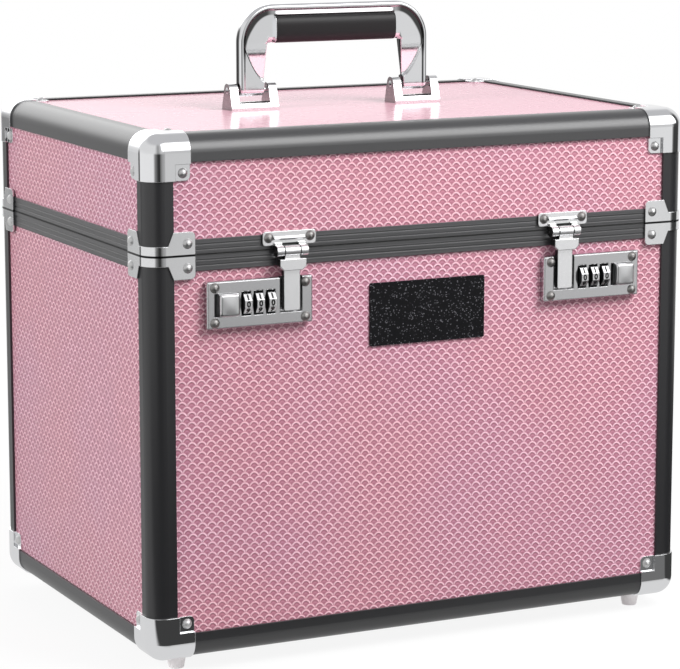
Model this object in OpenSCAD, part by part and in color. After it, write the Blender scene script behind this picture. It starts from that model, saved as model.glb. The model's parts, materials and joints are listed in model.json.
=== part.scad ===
// Grooming box: aluminium edges, laminated panels, a hinged lid,
// a folding carry handle and two combination locks with hasps.
// Millimetres, +Z up. The origin lies on the floor, midway between the four feet.

/* [Box] */
// Width across the front
box_w = 380; // [340:1:460]
// Depth from front to back
box_d = 268; // [250:1:340]
// Height of the base without its feet
base_h = 253; // [220:1:320]
// Height of the lid
lid_h = 73.5; // [72:0.5:110]
// Gap between the shut lid and the base
lid_gap = 0.3; // [0.2:0.1:0.6]
// Angle at which the hinges stop the lid
lid_open = 95; // [80:1:100]

/* [Panels] */
// Thickness of every panel
panel_t = 4; // [3.5:0.1:4.4]
// Depth of the wall and bottom panels behind the edges
wall_recess = 1.6; // [1.4:0.1:1.8]
// Depth of the top panel below the edges
top_recess = 1.2; // [1:0.1:2]
// Thickness of the lining
lining_t = 3.2; // [3:0.1:4]
// Gap between pieces that only butt together
fit = 0.1; // [0.05:0.05:0.2]

/* [Edges] */
// Width of an edge extrusion on each face
edge_w = 16.8; // [16:0.2:18]
// Outer radius of an edge extrusion
edge_r = 11.2; // [10.4:0.1:12]
// Side of the extrusion's core, which the panels butt against
edge_core = 8.2; // [8:0.1:8.4]

/* [Closing rails] */
// Height of the lid's closing rail
lid_rail_h = 9.5; // [8:0.1:12]
// Height of the base's closing rail
base_rail_h = 9.9; // [8:0.1:12]
// Depth of the closing rails behind the edges
rail_recess = 0.4; // [0.2:0.1:0.6]
// Thickness of the rail across the panel's edge
rail_web = 1.5; // [1:0.1:2]
// Height of the lip that stands up inside the lid
lip_h = 4; // [2:0.5:6]
// Thickness of that lip
lip_t = 1.2; // [1:0.1:1.6]
// Gap between the lip and the lid's panels
lip_clear = 0.5; // [0.3:0.1:0.7]
// Width of the lengthwise grooves
groove_w = 0.8; // [0.4:0.1:1]
// Depth of the lengthwise grooves
groove_d = 0.3; // [0.1:0.1:0.5]

/* [Corners] */
// Sheet thickness of the corner caps and brackets
sheet_t = 1; // [0.8:0.1:1.2]
// Gap between that sheet and the edges under it
sheet_gap = 0.05; // [0.05:0.05:0.1]
// Reach of a corner cap along each edge
cap_len = 28; // [26:0.5:32]
// Corner radius of a cap's tab
tab_r = 3; // [1:0.5:4]
// Distance of a cap's rivet from both neighbouring faces
cap_rivet = 23.2; // [22:0.1:24]
// Reach of a corner bracket from the corner
bracket_len = 30.4; // [29:0.1:34]
// Height of a bracket's strap
strap_h = 6; // [4:0.5:7]
// Height of a bracket's ear
ear_h = 14.4; // [12:0.2:16]
// Where an ear's slanted side meets the strap
ear_in = 12.7; // [12:0.1:14]
// Sideways run of that slant
ear_slant = 3.5; // [2:0.1:4]
// Distance of a bracket's rivet from the corner
ear_rivet_in = 25.3; // [23:0.1:27]
// Distance of a bracket's rivet from the closing line
ear_rivet_drop = 7.5; // [6:0.1:8]

/* [Rivets] */
// Radius of a rivet's head
head_r = 3.2; // [2.6:0.1:3.6]
// Height of a rivet's head
head_h = 2; // [1.4:0.1:2.4]
// Radius of a rivet's shank
shank_r = 1.6; // [1.2:0.1:1.8]
// Gap round a shank
shank_fit = 0.05; // [0.02:0.01:0.1]

/* [Feet] */
// Drop from the box's underside to the floor
foot_drop = 9.6; // [8:0.1:14]
// Distance of a foot from the side wall
foot_side = 24; // [20:0.5:25]
// Distance of a foot from the front or back wall
foot_end = 20.5; // [20:0.5:23]
// Radius of a foot at its top
foot_top_r = 6.5; // [6:0.1:8]
// Radius of a foot at the floor
foot_low_r = 4.8; // [4.4:0.1:6]
// Radius of the screw's head in a foot
screw_head_r = 3; // [2.6:0.1:3.4]
// Height of that head
screw_head_h = 2; // [1.4:0.1:2.4]
// Radius of the screw's shank
screw_r = 1.6; // [1.2:0.1:1.8]
// How far the screw's head lies above the floor
screw_up = 2.5; // [2:0.1:4]

/* [Badge] */
// Width of the badge plate
badge_w = 81.5; // [60:0.5:100]
// Height of the badge plate
badge_h = 40; // [30:0.5:50]
// Thickness of the badge plate
badge_t = 1.2; // [0.8:0.1:2]
// Distance of its middle below the closing line
badge_drop = 45.8; // [40:0.1:60]

/* [Locks] */
// Distance of a lock's middle from the box's middle
lock_x = 117.8; // [112:0.1:122]
// Distance of a lock's middle below the closing line
lock_drop = 31.4; // [30:0.1:34]
// Width of a lock plate
lock_w = 71; // [70:0.1:74]
// Height of a lock plate
lock_h = 29.5; // [29:0.1:32]
// How far a lock plate stands out from the panel
lock_out = 5.1; // [4.8:0.1:5.4]
// Sheet thickness of a lock plate
lock_wall = 1; // [0.8:0.1:1.1]
// Bevel along a lock plate's front edges
lock_bevel = 0.7; // [0.4:0.1:0.8]
// Sideways distance of a lock's rivets from its middle
lock_rivet_x = 30.4; // [30.2:0.1:31]
// Upright distance of a lock's rivets from its middle
lock_rivet_z = 10.9; // [10.6:0.1:11.2]
// Wall thickness of the case behind a lock plate
case_wall = 0.8; // [0.6:0.1:1]
// Half height of that case
case_half = 11.8; // [11.6:0.1:12]

/* [Dials] */
// Radius of a dial at its corners
dial_r = 7.4; // [7.3:0.1:7.6]
// Width of a dial
dial_w = 5; // [4.6:0.1:5.2]
// Spacing of the dials
dial_pitch = 8.2; // [8:0.1:8.3]
// Distance of the middle dial from the lock's middle, outwards
dial_shift = 1.2; // [1:0.1:1.4]
// How far a dial stands out of the lock plate
dial_proud = 4.2; // [4:0.1:4.3]
// Width of a dial's window
window_w = 6.2; // [5.8:0.1:6.6]
// Height of a dial's window
window_h = 15; // [14.9:0.1:15.4]
// Radius of the axle
axle_r = 1.5; // [1.2:0.1:1.8]
// Running gap round the axle
axle_fit = 0.05; // [0.03:0.01:0.08]

/* [Buttons] */
// Inner end of a button's slot, from the lock's middle
slot_in = 14.7; // [14.6:0.1:15]
// Length of a button's slot
slot_w = 15.9; // [15.6:0.1:16.2]
// Height of a button's slot
slot_h = 14.2; // [13.6:0.1:14.6]
// Travel of a button
button_travel = 2.4; // [2:0.1:2.6]
// Gap round a button
button_fit = 0.2; // [0.15:0.05:0.3]
// How far a button stands out of the lock plate
button_proud = 2.4; // [2:0.1:2.8]
// Radius of a button's rounded upper and lower edges
button_edge_r = 2; // [1.4:0.1:2.2]

/* [Hasps] */
// Distance of a hasp from the box's middle
hasp_x = 97; // [96.8:0.1:97.2]
// Height of the hasp's pin below the closing line
hasp_drop = 0.6; // [0.2:0.1:1]
// Radius of the hasp's knuckles
hasp_knuckle_r = 3.5; // [3.2:0.1:3.6]
// Gap between the knuckles and the rail behind them
hasp_clear = 0.5; // [0.4:0.1:0.8]
// Radius of the hasp's pin
hasp_pin_r = 1.2; // [1:0.1:1.4]
// Width of the hasp's plate
hasp_plate_w = 36; // [34:0.5:40]
// Height of the hasp's plate
hasp_plate_h = 8.8; // [8.4:0.1:9.4]
// Distance of that plate's lower edge above the closing line
hasp_plate_up = 2.6; // [2.4:0.1:3]
// Thickness of the hasp's plate
hasp_plate_t = 1.6; // [1.2:0.1:1.8]
// Sideways distance of that plate's rivets from its middle
hasp_rivet_x = 14; // [13.8:0.1:14.4]
// Width of the hasp's middle knuckle
hasp_eye_w = 10.4; // [10:0.1:11]
// Width of each outer knuckle
hasp_ear_w = 5; // [4.4:0.1:5.4]
// Gap between neighbouring knuckles
hasp_side_fit = 0.3; // [0.2:0.05:0.4]
// Width of the hasp's shoulder
hasp_shoulder_w = 17.6; // [17:0.1:19]
// Height of the hasp's shoulder
hasp_shoulder_h = 7; // [6:0.1:7.4]
// Size of the cuts across the shoulder's lower corners
hasp_shoulder_cut = 2.5; // [2:0.1:2.8]
// Depth of the hasp's neck behind the front of its middle knuckle
hasp_neck_in = 1.2; // [0.8:0.1:1.6]
// Radius of the rib along the hasp's plate
hasp_rib_r = 0.9; // [0.6:0.1:1.2]
// Width of the hasp's tongue
tongue_w = 10.8; // [10.4:0.1:11.6]
// Thickness of the hasp's tongue
tongue_t = 3.8; // [3:0.1:4.2]
// How far the tongue stands out of the lock plate
tongue_proud = 1.4; // [1:0.1:1.8]
// Width of the notch that the tongue lies in
notch_w = 15; // [14.8:0.1:15.2]
// Gap under the tongue's end
notch_end = 1; // [0.8:0.1:1.4]
// Distance of the tongue's end above the lock plate's lower edge
tongue_up = 8.4; // [8:0.1:9]

/* [Hinges] */
// Distance of a hinge from the box's middle
hinge_x = 105; // [80:1:120]
// Width of a hinge leaf
leaf_w = 44; // [40:1:60]
// Height of a hinge leaf
leaf_h = 30; // [24:1:36]
// Thickness of a hinge leaf
leaf_t = 1.5; // [1.2:0.1:2]
// Radius of the hinge's knuckles
knuckle_r = 3.4; // [3:0.1:4]
// Gap between the knuckles and the leaves
knuckle_clear = 0.4; // [0.3:0.1:0.6]
// Radius of the hinge's pin
hinge_pin_r = 1.6; // [1.4:0.1:2]
// Width of the lid's middle knuckle
middle_w = 20; // [16:1:24]
// Length of the stop on that knuckle
stop_len = 7.2; // [6.5:0.1:8]
// Thickness of that stop
stop_t = 1.5; // [1.2:0.1:2]
// Running gap round the hinge, hasp and handle pins
pin_fit = 0.05; // [0.03:0.01:0.08]

/* [Handle] */
// Distance of the handle behind the lid's middle
handle_y = 3.5; // [0:0.5:8]
// Gap beside a handle leg in its bracket
leg_gap = 1.3; // [1:0.1:2]
// Depth of a handle bracket at its foot
hb_d = 16; // [15:0.5:18]
// Thickness of a handle bracket's cheeks
cheek_t = 6; // [5.4:0.1:6.4]
// Radius of the cheeks' round tops
cheek_r = 4.7; // [4.4:0.1:5.2]
// Height of the low bars between the cheeks
hb_bar_h = 4.2; // [3.6:0.1:5]
// Thickness of those bars and of the bracket's floor
hb_wall = 1.5; // [1.2:0.1:1.8]
// Height of the handle's pivot above the top panel
pivot_h = 12.5; // [12.2:0.1:14]
// Radius of the handle's pins
handle_pin_r = 2; // [1.6:0.1:2.2]
// Width across the handle
handle_w = 139.4; // [138:0.2:142]
// Height of the handle above its pivot
handle_h = 56.1; // [52:0.1:60]
// Thickness of the handle from front to back
handle_t = 8; // [7:0.2:8.6]
// Outer corner radius of the handle
handle_r = 25; // [20:0.5:28]
// Width of a handle leg
leg_w = 19.4; // [18.6:0.2:20]
// Height of the bar over the grip
top_bar = 7.4; // [6:0.2:8]
// Width of the raised rim along the handle's outer edge
rim_w = 4.6; // [3:0.2:6]
// Depth of the hollow inside that rim, on both faces
rim_h = 1.2; // [0.6:0.1:2]
// Width of the shoulder between a leg and the grip
shoulder_w = 6.5; // [5:0.1:8]
// Height of the grip
grip_h = 18.4; // [16:0.2:20]
// Depth of the grip
grip_d = 17; // [15:0.2:18]
// Edge radius of the grip
grip_r = 6; // [4:0.5:7]
// Sideways spacing of a bracket's two screws
hb_screw_x = 16; // [14:0.5:18]
// Thickness of the plate under a bracket's screws
backing_t = 1.2; // [1:0.1:1.4]

/* [Tray] */
// Height of the lift-out tray
tray_h = 60; // [40:1:80]
// Depth of the tray's rim below the closing line
tray_drop = 14; // [13:1:30]
// Wall thickness of the tray
tray_wall = 2.5; // [2:0.1:4]
// Gap between the tray and the lining beside it
tray_clear = 5; // [4:0.5:7]
// Gap between the tray and the front and back lining
tray_gap = 12; // [8:0.5:20]
// Width of the ledges that carry the tray
ledge_w = 12; // [10:0.5:16]
// Height of those ledges
ledge_h = 10; // [8:0.5:14]
// Height of the tray's carrying board above its rim
board_up = 20; // [18:1:24]
// Length of the hand hole in that board
hand_w = 92; // [85:1:110]
// Height of the hand hole
hand_h = 22; // [20:1:26]

/* [Hidden] */
$fn = 48;

laminate = [0.87, 0.60, 0.67];
dark_edge = [0.22, 0.22, 0.23];
chrome = [0.86, 0.87, 0.88];
nickel = [0.74, 0.75, 0.76];
black = [0.07, 0.07, 0.08];
milk = [0.93, 0.93, 0.92];

x_out = box_w / 2;
y_out = box_d / 2;
z_low = foot_drop;
z_split = z_low + base_h;
z_lid = z_split + lid_gap;
z_top = z_split + lid_h;
front_y = -y_out + wall_recess;
panel_in = wall_recess + panel_t;
rail_front_y = -y_out + rail_recess;
sheet_out = sheet_t + sheet_gap;
lining_in = panel_in + lining_t;
tab_in = edge_w + fit;
big = box_w + box_d + base_h;

lock_z = z_split - lock_drop;
lock_low = lock_z - lock_h / 2;
plate_y = front_y - lock_out;
dial_y = plate_y - dial_proud + dial_r;
case_front = front_y - lock_out + 2 * lock_wall;
case_back = dial_y + dial_r + 0.6;
works_y = case_front + 3;
dial_places = [dial_shift + dial_pitch, dial_shift, dial_shift - dial_pitch];
notch_u = hasp_x - lock_x;
notch_near = notch_u + notch_w / 2;
case_in = notch_near + lock_wall + fit;
case_out = lock_rivet_x - shank_r - shank_fit - lock_wall;
rib_u = dial_shift + dial_pitch + dial_w / 2 + lock_wall;
bar_low = -case_half + case_wall + button_fit;
bar_high = -dial_r - 1;
stem_u = slot_in + slot_w / 2 - 2.2;
stem_w = 3;
button_w = slot_w - button_travel - 2 * button_fit;

hasp_y = rail_front_y - hasp_clear - hasp_knuckle_r;
hasp_z = z_split - hasp_drop;
tongue_front = plate_y - tongue_proud;
tongue_low = lock_low + tongue_up;

hinge_y = y_out - rail_recess + leaf_t + knuckle_clear + knuckle_r;
hinge_z = z_split + lid_gap / 2;
stop_lean = asin((knuckle_r - stop_t / 2) / stop_len);

panel_z = z_top - top_recess;
pivot_z = panel_z + pivot_h;
leg_in = handle_w / 2 - leg_w;
leg_lean = 1.1;
grip_w = 2 * (leg_in - shoulder_w);
bracket_x = handle_w / 2 - leg_w / 2;
hb_w = leg_w + 2 * leg_gap + 2 * cheek_t;
lid_ceiling = panel_z - panel_t;

tray_low = z_split - tray_drop - tray_h;
tray_x = x_out - lining_in - tray_clear;
tray_y = y_out - lining_in - tray_gap;

// Copies at the four upright edges, drawn at the front left one
module four_corners() {
    for (turn_x = [0, 1], turn_y = [0, 1])
        mirror([turn_x, 0, 0]) mirror([0, turn_y, 0]) children();
}

// Copies on the left and the right, drawn on the right
module both_sides() {
    for (turn = [0, 1]) mirror([turn, 0, 0]) children();
}

// The left-hand copy of something drawn on the right
module on_left() {
    mirror([1, 0, 0]) children();
}

// Outline in (y, z) carried along +X
module along_x(length) {
    rotate([90, 0, 90]) linear_extrude(length) children();
}

// Outline in (x, z) carried along +Y
module along_y(length) {
    translate([0, length, 0]) rotate([90, 0, 0]) linear_extrude(length) children();
}

// Block between two opposite corners
module block(low, high) {
    translate(low) cube(high - low);
}

// Square corner with its outside rounded away
module round_off(radius) {
    difference() {
        translate([-1, -1]) square(radius + 1);
        translate([radius, radius]) circle(radius);
    }
}

// Rectangle about the origin with round corners
module round_rect(width, height, radius) {
    difference() {
        translate([-width / 2, -height / 2]) square([width, height]);
        for (turn_x = [0, 1], turn_y = [0, 1])
            mirror([turn_x, 0]) mirror([0, turn_y])
                translate([-width / 2, -height / 2]) round_off(radius);
    }
}

// Section of an edge extrusion: a rounded core and a leg over each panel
module edge_section(depth_u, depth_v) {
    difference() {
        union() {
            square(edge_core);
            square([edge_w, depth_v]);
            square([depth_u, edge_w]);
        }
        round_off(edge_r);
    }
}

// Rivet with its head on z = 0 and its shank downwards
module rivet(length) {
    dome = (head_r * head_r + head_h * head_h) / (2 * head_h);
    rotate_extrude() union() {
        intersection() {
            translate([0, head_h - dome]) circle(dome);
            square([head_r, head_h]);
        }
        translate([0, -length]) square([shank_r, length + head_h / 2]);
    }
}

module rivet_hole(length) {
    translate([0, 0, -length - 1]) cylinder(r = shank_r + shank_fit, h = length + 2);
}

// Turns something that faces +Z to face outwards from the front or the left wall
module face_front() {
    rotate([90, 0, 0]) children();
}

module face_left() {
    rotate([0, -90, 0]) children();
}

// Places of the caps' rivets on the walls, at a height from the floor
module cap_wall_spots(height) {
    seat = wall_recess - sheet_t;
    four_corners() {
        translate([-x_out + cap_rivet, -y_out + seat, height]) face_front() children();
        translate([-x_out + seat, -y_out + cap_rivet, height]) face_left() children();
    }
}

module cap_top_spots() {
    four_corners()
        translate([-x_out + cap_rivet, -y_out + cap_rivet, panel_z + sheet_t]) children();
}

module bracket_spots(height) {
    four_corners() {
        translate([-x_out + ear_rivet_in, -y_out - sheet_out, height])
            face_front() children();
        translate([-x_out - sheet_out, -y_out + ear_rivet_in, height])
            face_left() children();
    }
}

module lock_spots() {
    for (side = [-1, 1], u = [-1, 1], v = [-1, 1])
        translate([side * lock_x + u * lock_rivet_x, plate_y, lock_z + v * lock_rivet_z])
            face_front() children();
}

module hasp_spots() {
    for (side = [-1, 1], u = [-1, 1])
        translate([side * hasp_x + u * hasp_rivet_x, rail_front_y - hasp_plate_t,
                   z_split + hasp_plate_up + hasp_plate_h / 2 + 0.6])
            face_front() children();
}

// Places of a hinge leaf's rivets, above (1) or below (-1) the hinge's pin
module hinge_spots(way) {
    for (side = [-1, 1], u = [-1, 0, 1])
        translate([side * hinge_x + u * leaf_w * 0.34, y_out - rail_recess + leaf_t,
                   hinge_z + way * (leaf_h - 4 - (1 - abs(u)) * 8)])
            rotate([-90, 0, 0]) children();
}

cap_shank = panel_in - wall_recess + sheet_t;
bracket_shank = panel_in + sheet_out;
lock_shank = lock_out + panel_t;
hasp_shank = panel_in - rail_recess + hasp_plate_t;
hinge_shank = panel_in - rail_recess + leaf_t;
base_cap_z = z_low + cap_rivet;
lid_cap_z = z_top - cap_rivet;
base_ear_z = z_split - ear_rivet_drop;
lid_ear_z = z_split + ear_rivet_drop;

// Upright wall panels, drawn at the front and at the left
module front_sheet(low, high) {
    side = x_out - edge_core - fit;
    block([-side, front_y, low], [side, front_y + panel_t, high]);
}

module left_sheet(low, high) {
    side = y_out - edge_core - fit;
    block([-x_out + wall_recess, -side, low], [-x_out + panel_in, side, high]);
}

base_panel_low = z_low + edge_core + fit;
base_panel_high = z_split - rail_web - fit;
lid_panel_low = z_lid + rail_web + fit;
lid_panel_high = z_top - edge_core - fit;

module base_wall_holes() {
    cap_wall_spots(base_cap_z) rivet_hole(cap_shank);
    bracket_spots(base_ear_z) rivet_hole(bracket_shank);
}

module lid_wall_holes() {
    cap_wall_spots(lid_cap_z) rivet_hole(cap_shank);
    bracket_spots(lid_ear_z) rivet_hole(bracket_shank);
}

module base_front_panel() {
    color(laminate) difference() {
        front_sheet(base_panel_low, base_panel_high);
        base_wall_holes();
        lock_spots() rivet_hole(lock_shank);
        both_sides() case_room(2 * fit);
    }
}

module base_back_panel() {
    color(laminate) difference() {
        mirror([0, 1, 0]) front_sheet(base_panel_low, base_panel_high);
        base_wall_holes();
        hinge_spots(-1) rivet_hole(hinge_shank);
    }
}

module base_left_panel() {
    color(laminate) difference() {
        left_sheet(base_panel_low, base_panel_high);
        base_wall_holes();
    }
}

module base_right_panel() {
    color(laminate) difference() {
        mirror([1, 0, 0]) left_sheet(base_panel_low, base_panel_high);
        base_wall_holes();
    }
}

module base_bottom_panel() {
    span = [x_out - edge_core - fit, y_out - edge_core - fit];
    color(dark_edge) difference() {
        block([-span.x, -span.y, z_low + wall_recess], [span.x, span.y, z_low + panel_in]);
        foot_spots() cylinder(r = screw_r + shank_fit, h = big);
    }
}

module lid_front_panel() {
    color(laminate) difference() {
        front_sheet(lid_panel_low, lid_panel_high);
        lid_wall_holes();
        hasp_spots() rivet_hole(hasp_shank);
    }
}

module lid_back_panel() {
    color(laminate) difference() {
        mirror([0, 1, 0]) front_sheet(lid_panel_low, lid_panel_high);
        lid_wall_holes();
        hinge_spots(1) rivet_hole(hinge_shank);
    }
}

module lid_left_panel() {
    color(laminate) difference() {
        left_sheet(lid_panel_low, lid_panel_high);
        lid_wall_holes();
    }
}

module lid_right_panel() {
    color(laminate) difference() {
        mirror([1, 0, 0]) left_sheet(lid_panel_low, lid_panel_high);
        lid_wall_holes();
    }
}

module lid_top_panel() {
    span = [x_out - edge_core - fit, y_out - edge_core - fit];
    color(laminate) difference() {
        block([-span.x, -span.y, lid_ceiling], [span.x, span.y, panel_z]);
        cap_top_spots() rivet_hole(cap_shank);
        handle_screw_spots() cylinder(r = screw_r + shank_fit, h = big, center = true);
    }
}

// Four level edges around the bottom, with the legs over the bottom panel downwards
module level_edges(depth_v) {
    for (turn = [0, 1]) {
        mirror([0, turn, 0]) translate([-x_out + edge_w, -y_out, 0])
            along_x(box_w - 2 * edge_w) edge_section(wall_recess, depth_v);
        mirror([turn, 0, 0]) translate([-x_out, -y_out + edge_w, 0])
            along_y(box_d - 2 * edge_w) edge_section(wall_recess, depth_v);
    }
}

module base_bottom_edges() {
    color(dark_edge) translate([0, 0, z_low]) level_edges(wall_recess);
}

module lid_top_edges() {
    color(dark_edge) translate([0, 0, z_top]) mirror([0, 0, 1]) level_edges(top_recess);
}

module corner_posts(low, high) {
    four_corners() translate([-x_out, -y_out, low])
        linear_extrude(high - low) edge_section(wall_recess, wall_recess);
}

module base_corner_posts() {
    color(dark_edge) corner_posts(z_low + edge_w, z_split);
}

module lid_corner_posts() {
    color(dark_edge) corner_posts(z_lid, z_top - edge_w);
}

// Section of the base's rail: a channel over the panel's edge, with a lip inside
module base_rail_section() {
    inner = panel_in + lip_clear + lip_t;
    difference() {
        union() {
            translate([rail_recess, -base_rail_h])
                square([wall_recess - rail_recess, base_rail_h]);
            translate([rail_recess, -rail_web]) square([inner - rail_recess, rail_web]);
            translate([panel_in, -base_rail_h]) square([inner - panel_in, base_rail_h]);
            translate([inner - lip_t, -rail_web]) square([lip_t, rail_web + lip_h]);
        }
        for (share = [1, 2])
            translate([rail_recess - 1, -share * base_rail_h / 3 - groove_w / 2])
                square([1 + groove_d, groove_w]);
    }
}

module lid_rail_section() {
    difference() {
        union() {
            translate([rail_recess, lid_gap])
                square([wall_recess - rail_recess, lid_rail_h - lid_gap]);
            translate([rail_recess, lid_gap]) square([panel_in - rail_recess, rail_web]);
        }
        for (share = [1, 2])
            translate([rail_recess - 1, share * lid_rail_h / 3 - groove_w / 2])
                square([1 + groove_d, groove_w]);
    }
}

// Four rails around the closing line, each between two corner posts
module rails_around() {
    for (turn = [0, 1]) {
        mirror([0, turn, 0]) translate([-x_out + edge_w, -y_out, z_split])
            along_x(box_w - 2 * edge_w) children();
        mirror([turn, 0, 0]) translate([-x_out, -y_out + edge_w, z_split])
            along_y(box_d - 2 * edge_w) children();
    }
}

// The lip stops short of the lid's corner posts
module lip_ends() {
    four_corners()
        block([-x_out, -y_out, z_split], [-x_out + edge_w + 1, -y_out + edge_w + 1, z_top]);
}

module base_closing_rails() {
    color(dark_edge) difference() {
        rails_around() base_rail_section();
        lip_ends();
        bracket_spots(base_ear_z) rivet_hole(bracket_shank);
    }
}

module lid_closing_rails() {
    color(dark_edge) difference() {
        rails_around() lid_rail_section();
        bracket_spots(lid_ear_z) rivet_hole(bracket_shank);
        hasp_spots() rivet_hole(hasp_shank);
    }
}

// Swaps the axes so that something drawn for the level face lies on another
module cap_face(which) {
    if (which == "level") children();
    if (which == "front") mirror([0, 1, -1]) children();
    if (which == "side") mirror([1, 0, -1]) children();
}

// Everything within a distance of the rounded corner's outside
module round_corner(grow, reach) {
    translate([edge_r, edge_r, edge_r]) sphere(edge_r + grow);
    for (which = ["level", "front", "side"]) cap_face(which) {
        translate([edge_r, edge_r, edge_r]) cylinder(r = edge_r + grow, h = reach - edge_r);
        block([edge_r, edge_r, -grow], [reach, reach, edge_r]);
    }
}

module tab_outline() {
    translate([cap_len, cap_len]) rotate(180) difference() {
        square(cap_len - tab_in);
        round_off(tab_r);
    }
}

// A cap's tab: a step down from the edges and a plate on the panel
module cap_tab(depth) {
    translate([0, 0, depth - sheet_t]) linear_extrude(sheet_t) tab_outline();
    translate([0, 0, -sheet_out]) linear_extrude(sheet_out + depth) difference() {
        tab_outline();
        translate([tab_in + sheet_t, tab_in + sheet_t]) square(cap_len);
    }
}

// Bent sheet over a corner; level_depth is the recess of the level panel
module corner_cap(level_depth, level_tab) {
    faces = level_tab ? ["level", "front", "side"] : ["front", "side"];
    difference() {
        round_corner(sheet_out, cap_len);
        round_corner(sheet_gap, cap_len + 1);
        block([edge_r, edge_r, edge_r], [big, big, big]);
        for (which = faces) cap_face(which)
            block([tab_in, tab_in, -big], [big, big, 0]);
    }
    for (which = faces) cap_face(which)
        cap_tab(which == "level" ? level_depth : wall_recess);
}

// The bottom caps carry the feet on a solid pad instead of a tab
module base_corner_caps() {
    color(chrome) difference() {
        four_corners() translate([-x_out, -y_out, z_low]) {
            corner_cap(wall_recess, false);
            block([tab_in, tab_in, -sheet_gap], [cap_len, cap_len, wall_recess]);
        }
        cap_wall_spots(base_cap_z) rivet_hole(cap_shank);
        foot_spots() cylinder(r = screw_r + shank_fit, h = big);
    }
}

module lid_corner_caps() {
    color(chrome) difference() {
        four_corners() translate([-x_out, -y_out, z_top]) mirror([0, 0, 1])
            corner_cap(top_recess, true);
        cap_wall_spots(lid_cap_z) rivet_hole(cap_shank);
        cap_top_spots() rivet_hole(cap_shank);
    }
}

// Plan of a bent strap that follows an upright edge
module strap_plan(grow) {
    translate([edge_r, edge_r]) circle(edge_r + grow);
    translate([edge_r, -grow]) square([bracket_len - edge_r, edge_r + grow]);
    translate([-grow, edge_r]) square([edge_r + grow, bracket_len - edge_r]);
}

module ear_outline() {
    difference() {
        polygon([[ear_in, 0], [ear_in, strap_h], [ear_in + ear_slant, ear_h],
                 [bracket_len, ear_h], [bracket_len, 0]]);
        translate([bracket_len, ear_h]) rotate(180) round_off(tab_r);
    }
}

// Bracket above the closing line; strap round the corner and an ear on each wall
module corner_bracket() {
    intersection() {
        linear_extrude(ear_h) difference() {
            strap_plan(sheet_out);
            strap_plan(sheet_gap);
            translate([edge_r, edge_r]) square(big);
        }
        union() {
            block([-sheet_out, -sheet_out, 0], [bracket_len, bracket_len, strap_h]);
            for (swap = [0, 1]) mirror([swap, -swap, 0])
                translate([0, -sheet_out, 0]) along_y(sheet_out + edge_r) ear_outline();
        }
    }
}

module base_corner_brackets() {
    color(nickel) difference() {
        four_corners() translate([-x_out, -y_out, z_split]) mirror([0, 0, 1]) corner_bracket();
        bracket_spots(base_ear_z) rivet_hole(bracket_shank);
    }
}

module lid_corner_brackets() {
    color(nickel) difference() {
        four_corners() translate([-x_out, -y_out, z_lid]) corner_bracket();
        bracket_spots(lid_ear_z) rivet_hole(bracket_shank);
    }
}

module base_rivets() {
    color(nickel) {
        cap_wall_spots(base_cap_z) rivet(cap_shank);
        bracket_spots(base_ear_z) rivet(bracket_shank);
        lock_spots() rivet(lock_shank);
        hinge_spots(-1) rivet(hinge_shank);
    }
}

module lid_rivets() {
    color(nickel) {
        cap_wall_spots(lid_cap_z) rivet(cap_shank);
        cap_top_spots() rivet(cap_shank);
        bracket_spots(lid_ear_z) rivet(bracket_shank);
        hasp_spots() rivet(hasp_shank);
        hinge_spots(1) rivet(hinge_shank);
    }
}

module foot_spots() {
    four_corners() translate([-x_out + foot_side, -y_out + foot_end, 0]) children();
}

module feet() {
    height = foot_drop - sheet_out;
    color(milk) foot_spots() difference() {
        cylinder(r1 = foot_low_r, r2 = foot_top_r, h = height);
        cylinder(r = screw_r + shank_fit, h = height);
        cylinder(r = screw_head_r + shank_fit, h = screw_up + screw_head_h);
    }
}

module foot_screws() {
    color(nickel) foot_spots() {
        translate([0, 0, screw_up]) cylinder(r = screw_head_r, h = screw_head_h);
        translate([0, 0, screw_up])
            cylinder(r = screw_r, h = foot_drop + panel_in - screw_up);
    }
}

module badge_plate() {
    color(black) translate([0, front_y, z_split - badge_drop]) face_front()
        linear_extrude(badge_t) round_rect(badge_w, badge_h, 1);
}

// Places something drawn about a right-hand lock's middle, with y from the panel outwards
module at_lock() {
    translate([lock_x, 0, lock_z]) children();
}

// Space that a lock's case takes up, with a gap round it
module case_room(gap) {
    at_lock() block([case_in - gap, front_y - 1, -case_half - gap],
                    [case_out + gap, case_back + case_wall + gap, case_half + gap]);
}

// Front of a lock plate with its three bevelled outlines
module plate_body() {
    front = -plate_y;
    back = -front_y;
    half = [lock_w / 2, lock_h / 2];
    intersection() {
        translate([0, front_y, 0]) face_front()
            linear_extrude(lock_out) round_rect(lock_w, lock_h, 2 * lock_bevel);
        translate([0, 0, -half.y]) linear_extrude(lock_h)
            polygon([[-half.x, -back], [half.x, -back], [half.x, -front + lock_bevel],
                     [half.x - lock_bevel, -front], [-half.x + lock_bevel, -front],
                     [-half.x, -front + lock_bevel]]);
        translate([-half.x, 0, 0]) along_x(lock_w)
            polygon([[-back, -half.y], [-back, half.y], [-front + lock_bevel, half.y],
                     [-front, half.y - lock_bevel], [-front, -half.y + lock_bevel],
                     [-front + lock_bevel, -half.y]]);
    }
}

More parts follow.
